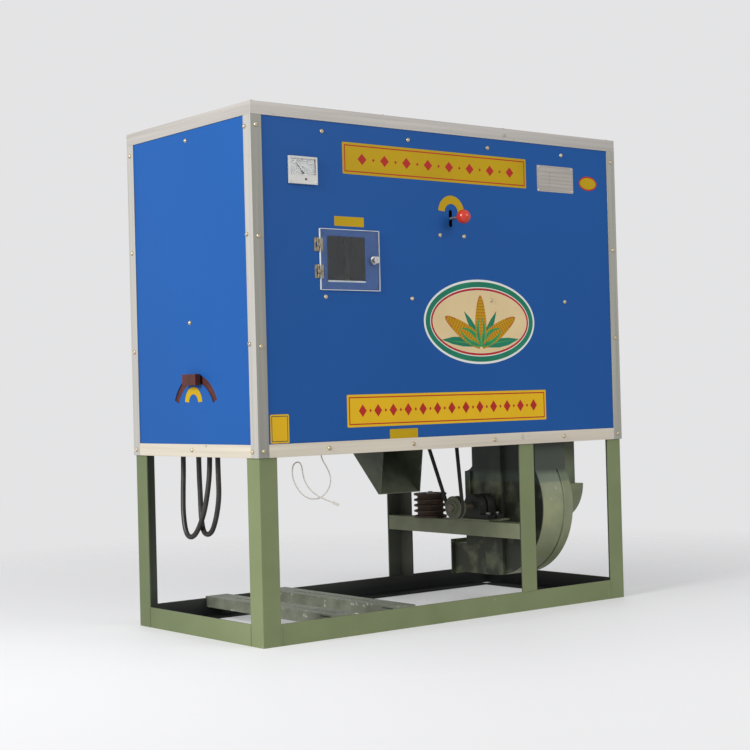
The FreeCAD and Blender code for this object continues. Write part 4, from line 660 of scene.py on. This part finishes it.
# %% Nameplate with ruled lines
nameplate = (1132, 1299, 1367, 1453)
flat("nameplate", on_front, [card(*nameplate, 4)], 0, 0.9, "plate_silver", "chrome_metal")
engraved = (0.8, 0.2)
flat("nameplate_line", on_front, border(*nameplate, 4, 1.0), *engraved, "print_grey")
ruled = [card(1142, 1289, v, v + 0.9, 0.3) for v in (1383, 1395, 1407, 1419, 1431)]
ruled.append(card(1190, 1191, 1384, 1431, 0.3))
flat("nameplate_rules", on_front, ruled, *engraved, "print_grey")
rivets = [(u, 2.1, v) for u in (1138, 1293) for v in (1373, 1447)]
rivet = master(spun([(0, 1.8), (1.6, 1.4), (2.4, 0.5), (2.5, 0), (0, 0)], steps=12))
scatter("nameplate_rivets", rivet, rivets, "front", "polished_steel")

# %% [markdown]
# ## Picture of corn
# In the middle of the front an oval sticker shows three ears of corn between their leaves.
# An ear is a long rounded outline with rows of small kernels laid over it. Its short leaves are
# swung and mirrored copies of one blade, and four long leaves lie behind the ears.

# %% The badge
def moved(outline, root_u, root_v, degrees, scale, mirror=False):
    """An outline turned about the origin and set down on the panel."""
    cosine, sine = math.cos(math.radians(degrees)), math.sin(math.radians(degrees))
    way = -1 if mirror else 1
    return [(root_u + scale * (way * u * cosine - v * sine), root_v + scale * (way * u * sine + v * cosine))
            for u, v in outline]


def ear_half_width(share):
    """Half the width of an ear at a share of its length, from the stalk to the tip."""
    rounding = math.sqrt(max(0.0, math.sin(math.pi * min(1.0, 0.10 + 0.90 * share))))
    return 25 * rounding * (1.05 - 0.35 * share)


ear_length, kernel_pitch = 150, 9.2
ear_steps = [k / 20 for k in range(21)]
ear = [(ear_half_width(share), ear_length * share) for share in ear_steps]
ear += [(-ear_half_width(share), ear_length * share) for share in reversed(ear_steps[:-1])]
kernels = []
for row in range(15):
    high = 8 + kernel_pitch * row
    width = ear_half_width(high / ear_length)
    for column in range(-3, 4):
        spot = column * width * 0.28
        if abs(spot) + 2.4 < width:
            kernels.append(oval(spot, high + (column % 2) * 1.2, width * 0.125, 3.9, 10))
blade = [(0, -10), (15, 6), (28, 40), (29, 74), (20, 106), (2, 134), (12, 100), (12, 68), (4, 36), (0, 14)]
blade_fold = [(3, 2), (14, 22), (20, 48), (21, 76), (16, 102), (18.4, 76), (17.2, 50), (11, 26)]
long_leaf = [(0, -6), (9, 22), (13, 58), (10, 92), (-1, 128), (-8, 92), (-10, 58), (-7, 22)]
leaf_vein = [(0.6, 4), (1.7, 60), (-0.4, 112), (-1.7, 60), (-0.8, 4)]

badge_u, badge_v = 866, 935
leaf_root = (badge_u, 862)
ear_root = (badge_u, 864)
blade_size = 0.66


def badge_oval(half_u, half_v):
    """One of the badge's nested ovals."""
    return oval(badge_u, badge_v, half_u, half_v, 96)


flat("badge_edge", on_front, [badge_oval(236, 134)], 0, 0.4, "sticker_white")
flat("badge_rim", on_front, [badge_oval(229, 127), badge_oval(211, 110)], 0.3, 0.2, "sticker_green")
flat("badge_line", on_front, [badge_oval(208, 107), badge_oval(201, 100)], 0.3, 0.2, "sticker_red")
flat("badge_field", on_front, [badge_oval(200, 99)], 0.3, 0.2, "sticker_cream")
for letter, lean, size in (("a", 33, 1.0), ("b", -33, 1.0), ("c", 84, 1.3), ("d", -84, 1.3)):
    leaf = moved(long_leaf, *leaf_root, lean, size)
    flat("badge_long_leaf_" + letter, on_front, [leaf], 0.45, 0.12, "sticker_green")
    vein = moved(leaf_vein, *leaf_root, lean, size)
    flat("badge_vein_" + letter, on_front, [vein], 0.52, 0.10, "sticker_leaf")
for letter, lean, size, rise in (("a", 60, 1.16, 0.12), ("b", -60, 1.16, 0.12), ("c", 0, 1.04, 0.42)):
    cob = moved(ear, *ear_root, lean, size)
    flat("badge_ear_" + letter, on_front, [cob], 0.40 + rise, 0.15, "sticker_amber")
    grains = [moved(k, *ear_root, lean, size) for k in kernels]
    flat("badge_kernels_" + letter, on_front, grains, 0.50 + rise, 0.13, "sticker_yellow")
    for side_name, turned in (("right", False), ("left", True)):
        leaf = moved(blade, *leaf_root, lean, size * blade_size, turned)
        flat(f"badge_leaf_{letter}_{side_name}", on_front, [leaf], 0.58 + rise, 0.12, "sticker_leaf")
        fold = moved(blade_fold, *leaf_root, lean, size * blade_size, turned)
        flat(f"badge_fold_{letter}_{side_name}", on_front, [fold], 0.66 + rise, 0.1, "sticker_green")
print("kernels on each ear", len(kernels))

# %% [markdown]
# ## Small fittings
# The panel meter gets its scale, the clear door its sawn edges with a painted highlight, and the fan's
# bearings get the bolts that hold them. None of it is structural, so it isn't in the solids.

# %% Meter dial
dial_depth, meter_depth = 0, -6


def on_dial(u, v, w):
    """A place on the dial, which lies 3 mm in front of the panel's face."""
    return at(u, dial_depth - w, v)


scale_u, scale_v = 180, 1364
first_turn, sweep, figure_radius = 138, 96, 42.6
flat("meter_dial", on_dial, [card(136.5, 223.5, 1359.5, 1404.5, 1)], 0, 0.3, "dial_white", "meter_white")
scale_arc = [arch(scale_u, scale_v, 33.4, 32.9, first_turn - sweep, first_turn, 40)]
for k in range(21):
    turn = math.radians(first_turn - sweep * k / 20)
    near, far, half = (33, 38.4, 0.32) if k % 5 == 0 else (33, 35.6, 0.18)
    along = (math.cos(turn), math.sin(turn))
    scale_arc.append([(scale_u + r * along[0] - h * along[1], scale_v + r * along[1] + h * along[0])
                      for r, h in ((near, -half), (far, -half), (far, half), (near, half))])
arc_only, ticks = scale_arc[:1], scale_arc[1:]
flat("meter_arc", on_dial, arc_only, 0.25, 0.12, "print_grey", "pointer_black")
flat("meter_ticks", on_dial, ticks, 0.28, 0.12, "print_grey", "pointer_black")


def figure(name, text, height, centre_u, centre_v, place, material, low):
    """A short number as flat raised shapes, made into mesh before it is placed."""
    line = bpy.data.curves.new(name, "FONT")
    line.body = text
    line.size = height
    line.align_x = "CENTER"
    line.align_y = "CENTER"
    line.extrude = 0.06
    line.resolution_u = 3
    writing = bpy.data.objects.new(name, line)
    bpy.context.scene.collection.objects.link(writing)
    bpy.context.view_layer.update()
    mesh = bpy.data.meshes.new_from_object(writing)
    bpy.data.objects.remove(writing)
    shape = bmesh.new()
    shape.from_mesh(mesh)
    for corner in shape.verts:
        corner.co = place(centre_u + corner.co.x, centre_v + corner.co.y, low + corner.co.z)
    bmesh.ops.recalc_face_normals(shape, faces=shape.faces[:])
    return set_down(name, shape, material, smooth=False)


for k, text in enumerate(("0", "25", "50", "75", "100")):
    turn = math.radians(first_turn - sweep * k / 4)
    figure_u = scale_u + figure_radius * math.cos(turn)
    figure_v = scale_v + figure_radius * math.sin(turn) - 3.2
    figure("meter_figure_" + text, text, 5.2, figure_u, figure_v, on_dial, "print_grey",
           0.4)
figure("meter_unit", "A", 8.5, scale_u, scale_v + 16, on_dial, "print_grey", 0.4)


def on_meter(u, v, w):
    """A place on the meter's front face, 9 mm in front of the panel's face."""
    return at(u, meter_depth - w, v)


adjuster = master(spun([(0, 1.3), (3.0, 1.1), (3.5, 0.4), (3.5, -0.6), (0, -0.6)], steps=20),
                  (((5.0, 0.9, 9.0), 0.0),))
adjuster_place = (187, meter_depth, 1345)
scatter("meter_adjuster", adjuster, [adjuster_place], "front", "pointer_black")
flat("meter_frame", on_meter, border(130, 230, 1355, 1411, 1.2, 1.6), -0.1, 0.5, "meter_white",
     "meter_white")
meter_screws = [(135, meter_depth, 1336), (225, meter_depth, 1336)]
scatter("meter_screws", screw_head, meter_screws, "front", "polished_steel", size=0.32)
print("meter scale drawn")

# %% Sawn edges of the door, sill of the sight opening, both with a painted highlight
door_low, door_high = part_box("window_door")


def in_depth(u, v, w):
    """A place u to the right, v up and w behind the front face of the stand."""
    return at(u, w, v)


# The door's sawn edges and the sheet's cut edge under the sight opening are real; their pale colour is
# painted highlight.
door_outer = card(234.75, 457.25, 1023.75, 1205.25, 2.0)
door_inner = card(236.4, 455.6, 1025.4, 1203.6, 1.0)
flat("door_edge", in_depth, [door_outer, door_inner], -3.15, 5.3, "cut_edge_highlight", "clear_plastic",
     "window_door")
flat("sight_sill", on_front, [card(264.2, 404.8, 1048.5, 1053.2, 0.6)], 0, 0.9, "cut_edge_highlight", "bare_steel")
print("door from", tuple(round(c, 4) for c in door_low), "to", tuple(round(c, 4) for c in door_high))

# %% Bolts on the fan's bearings
shaft_y, bolt_reach, bolt_height = 255, 64, 306
bearing_bolts = [(x, shaft_y + way * bolt_reach, bolt_height)
                 for x in (1047.9, 1087.9) for way in (-1, 1)]
scatter("fan_bearing_washers", washer, [(x, y, z - 3.9) for x, y, z in bearing_bolts], "up",
        "bare_steel", size=0.8)
scatter("fan_bearing_bolts", hex_head, [(x, y, z - 2.6) for x, y, z in bearing_bolts], "up",
        "bare_steel", size=0.95)
print("bearing bolts", len(bearing_bolts))

# %% [markdown]
# ## Weld beads
# The stand is welded, and a hand-laid weld is a row of overlapping round puddles. Each bead is
# a line of small balls that sink halfway into the steel, under the same green paint.

# %% Weld beads
puddle_chance = random.Random(11)


def bead(shape, start, end, radius=2.3, pitch=2.7):
    """Lays a row of small balls from one place to another, in millimetres."""
    begin, stop = at(*start), at(*end)
    count = max(2, round((stop - begin).length * 1000 / pitch))
    for k in range(count + 1):
        size = radius / 1000 * puddle_chance.uniform(0.86, 1.12)
        centre = begin.lerp(stop, k / count)
        bmesh.ops.create_icosphere(shape, subdivisions=1, radius=size, matrix=Matrix.Translation(centre))


base_low, base_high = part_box("base_frame")
bar_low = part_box("crossbar")[0]
left, front = base_low.x * 1000 + middle_x, base_low.y * 1000 + middle_y
right, back = base_high.x * 1000 + middle_x, base_high.y * 1000 + middle_y
bar_x = bar_low.x * 1000 + middle_x
leg, steel = 63, 6
rail_edges = (250, 334, 485, 569)
beads = bmesh.new()
for y, inner in ((front, steel), (back, -steel)):
    for x in (left + leg, right - leg):
        bead(beads, (x, y, 3), (x, y, leg - 2))
    bead(beads, (bar_x + 2, y, leg), (bar_x + leg - 2, y, leg))
    bead(beads, (bar_x, y + inner, 236), (bar_x, y + inner, 280))
for x in (left, right):
    for y in (front + leg, back - leg):
        bead(beads, (x, y, 3), (x, y, leg - 2))
for x in rail_edges:
    bead(beads, (x, front + 8, leg), (x, front + 56, leg), 1.9)
set_down("weld_beads", beads, "stand_paint")
print("stand from", round(left), round(front), "to", round(right), round(back))

# %% [markdown]
# ## Floor and light
# A pale floor fades out into a pale surround, so no horizon shows. The stronger of two large
# soft lamps stands at the left, because the left side is the brighter one, and the other stands
# in front. The world gives the even light of a studio.

# %% Stage
world = bpy.data.worlds.new("studio")
bpy.context.scene.world = world
world.use_nodes = True
sky = world.node_tree
sky_light = sky.nodes["Background"]
sky_light.inputs["Color"].default_value = (0.80, 0.80, 0.80, 1)
sky_light.inputs["Strength"].default_value = 0.62
sky_seen = sky.nodes.new("ShaderNodeBackground")
sky_seen.inputs["Color"].default_value = (0.775, 0.775, 0.785, 1)
sky_seen.inputs["Strength"].default_value = 1.0
ray = sky.nodes.new("ShaderNodeLightPath")
direct = sky.nodes.new("ShaderNodeMath")
direct.operation = "MAXIMUM"
sky.links.new(ray.outputs["Is Camera Ray"], direct.inputs[0])
sky.links.new(ray.outputs["Is Glossy Ray"], direct.inputs[1])
through = sky.nodes.new("ShaderNodeMath")
through.operation = "MAXIMUM"
sky.links.new(direct.outputs["Value"], through.inputs[0])
sky.links.new(ray.outputs["Is Transmission Ray"], through.inputs[1])
either = sky.nodes.new("ShaderNodeMixShader")
sky.links.new(through.outputs["Value"], either.inputs["Fac"])
sky.links.new(sky_light.outputs["Background"], either.inputs[1])
sky.links.new(sky_seen.outputs["Background"], either.inputs[2])
sky.links.new(either.outputs["Shader"], sky.nodes["World Output"].inputs["Surface"])

floor_radius = 9
floor_shape = bmesh.new()
bmesh.ops.create_circle(floor_shape, cap_ends=True, radius=floor_radius, segments=96)
floor_mesh = bpy.data.meshes.new("floor")
floor_shape.to_mesh(floor_mesh)
floor_shape.free()
floor = bpy.data.objects.new("floor", floor_mesh)
bpy.context.scene.collection.objects.link(floor)
floor_paint = bpy.data.materials.new("floor_paint")
floor_paint.use_nodes = True
ground = floor_paint.node_tree
ground_shader = ground.nodes["Principled BSDF"]
ground_shader.inputs["Base Color"].default_value = (0.55, 0.55, 0.555, 1)
ground_shader.inputs["Emission Color"].default_value = (0.80, 0.80, 0.81, 1)
ground_shader.inputs["Emission Strength"].default_value = 0.26
ground_shader.inputs["Roughness"].default_value = 0.6
ground_place = ground.nodes.new("ShaderNodeTexCoord")
reach = ground.nodes.new("ShaderNodeVectorMath")
reach.operation = "LENGTH"
ground.links.new(ground_place.outputs["Object"], reach.inputs[0])
fade_out = ground.nodes.new("ShaderNodeMapRange")
fade_out.inputs["From Min"].default_value = 1.2
fade_out.inputs["From Max"].default_value = 3.2
ground.links.new(reach.outputs["Value"], fade_out.inputs["Value"])
gone = ground.nodes.new("ShaderNodeBsdfTransparent")
blend_out = ground.nodes.new("ShaderNodeMixShader")
ground.links.new(fade_out.outputs["Result"], blend_out.inputs["Fac"])
ground.links.new(ground_shader.outputs["BSDF"], blend_out.inputs[1])
ground.links.new(gone.outputs["BSDF"], blend_out.inputs[2])
ground.links.new(blend_out.outputs["Shader"], ground.nodes["Material Output"].inputs["Surface"])
floor_mesh.materials.append(floor_paint)


def lamp(name, place, size, watts):
    """A large soft lamp that points at the middle of the machine."""
    light = bpy.data.lights.new(name, "AREA")
    light.shape = "DISK"
    light.size = size
    light.energy = watts
    holder = bpy.data.objects.new(name, light)
    bpy.context.scene.collection.objects.link(holder)
    aim = Vector((0, 0, 0.8)) - Vector(place)
    holder.matrix_world = Matrix.Translation(place) @ aim.to_track_quat("-Z", "Y").to_matrix().to_4x4()


lamp("key_lamp", (-5.0, -0.6, 2.8), 2.6, 300)
lamp("fill_lamp", (1.2, -5.0, 3.0), 3.0, 108)
bpy.context.scene.view_settings.view_transform = "Standard"
print("stage set")
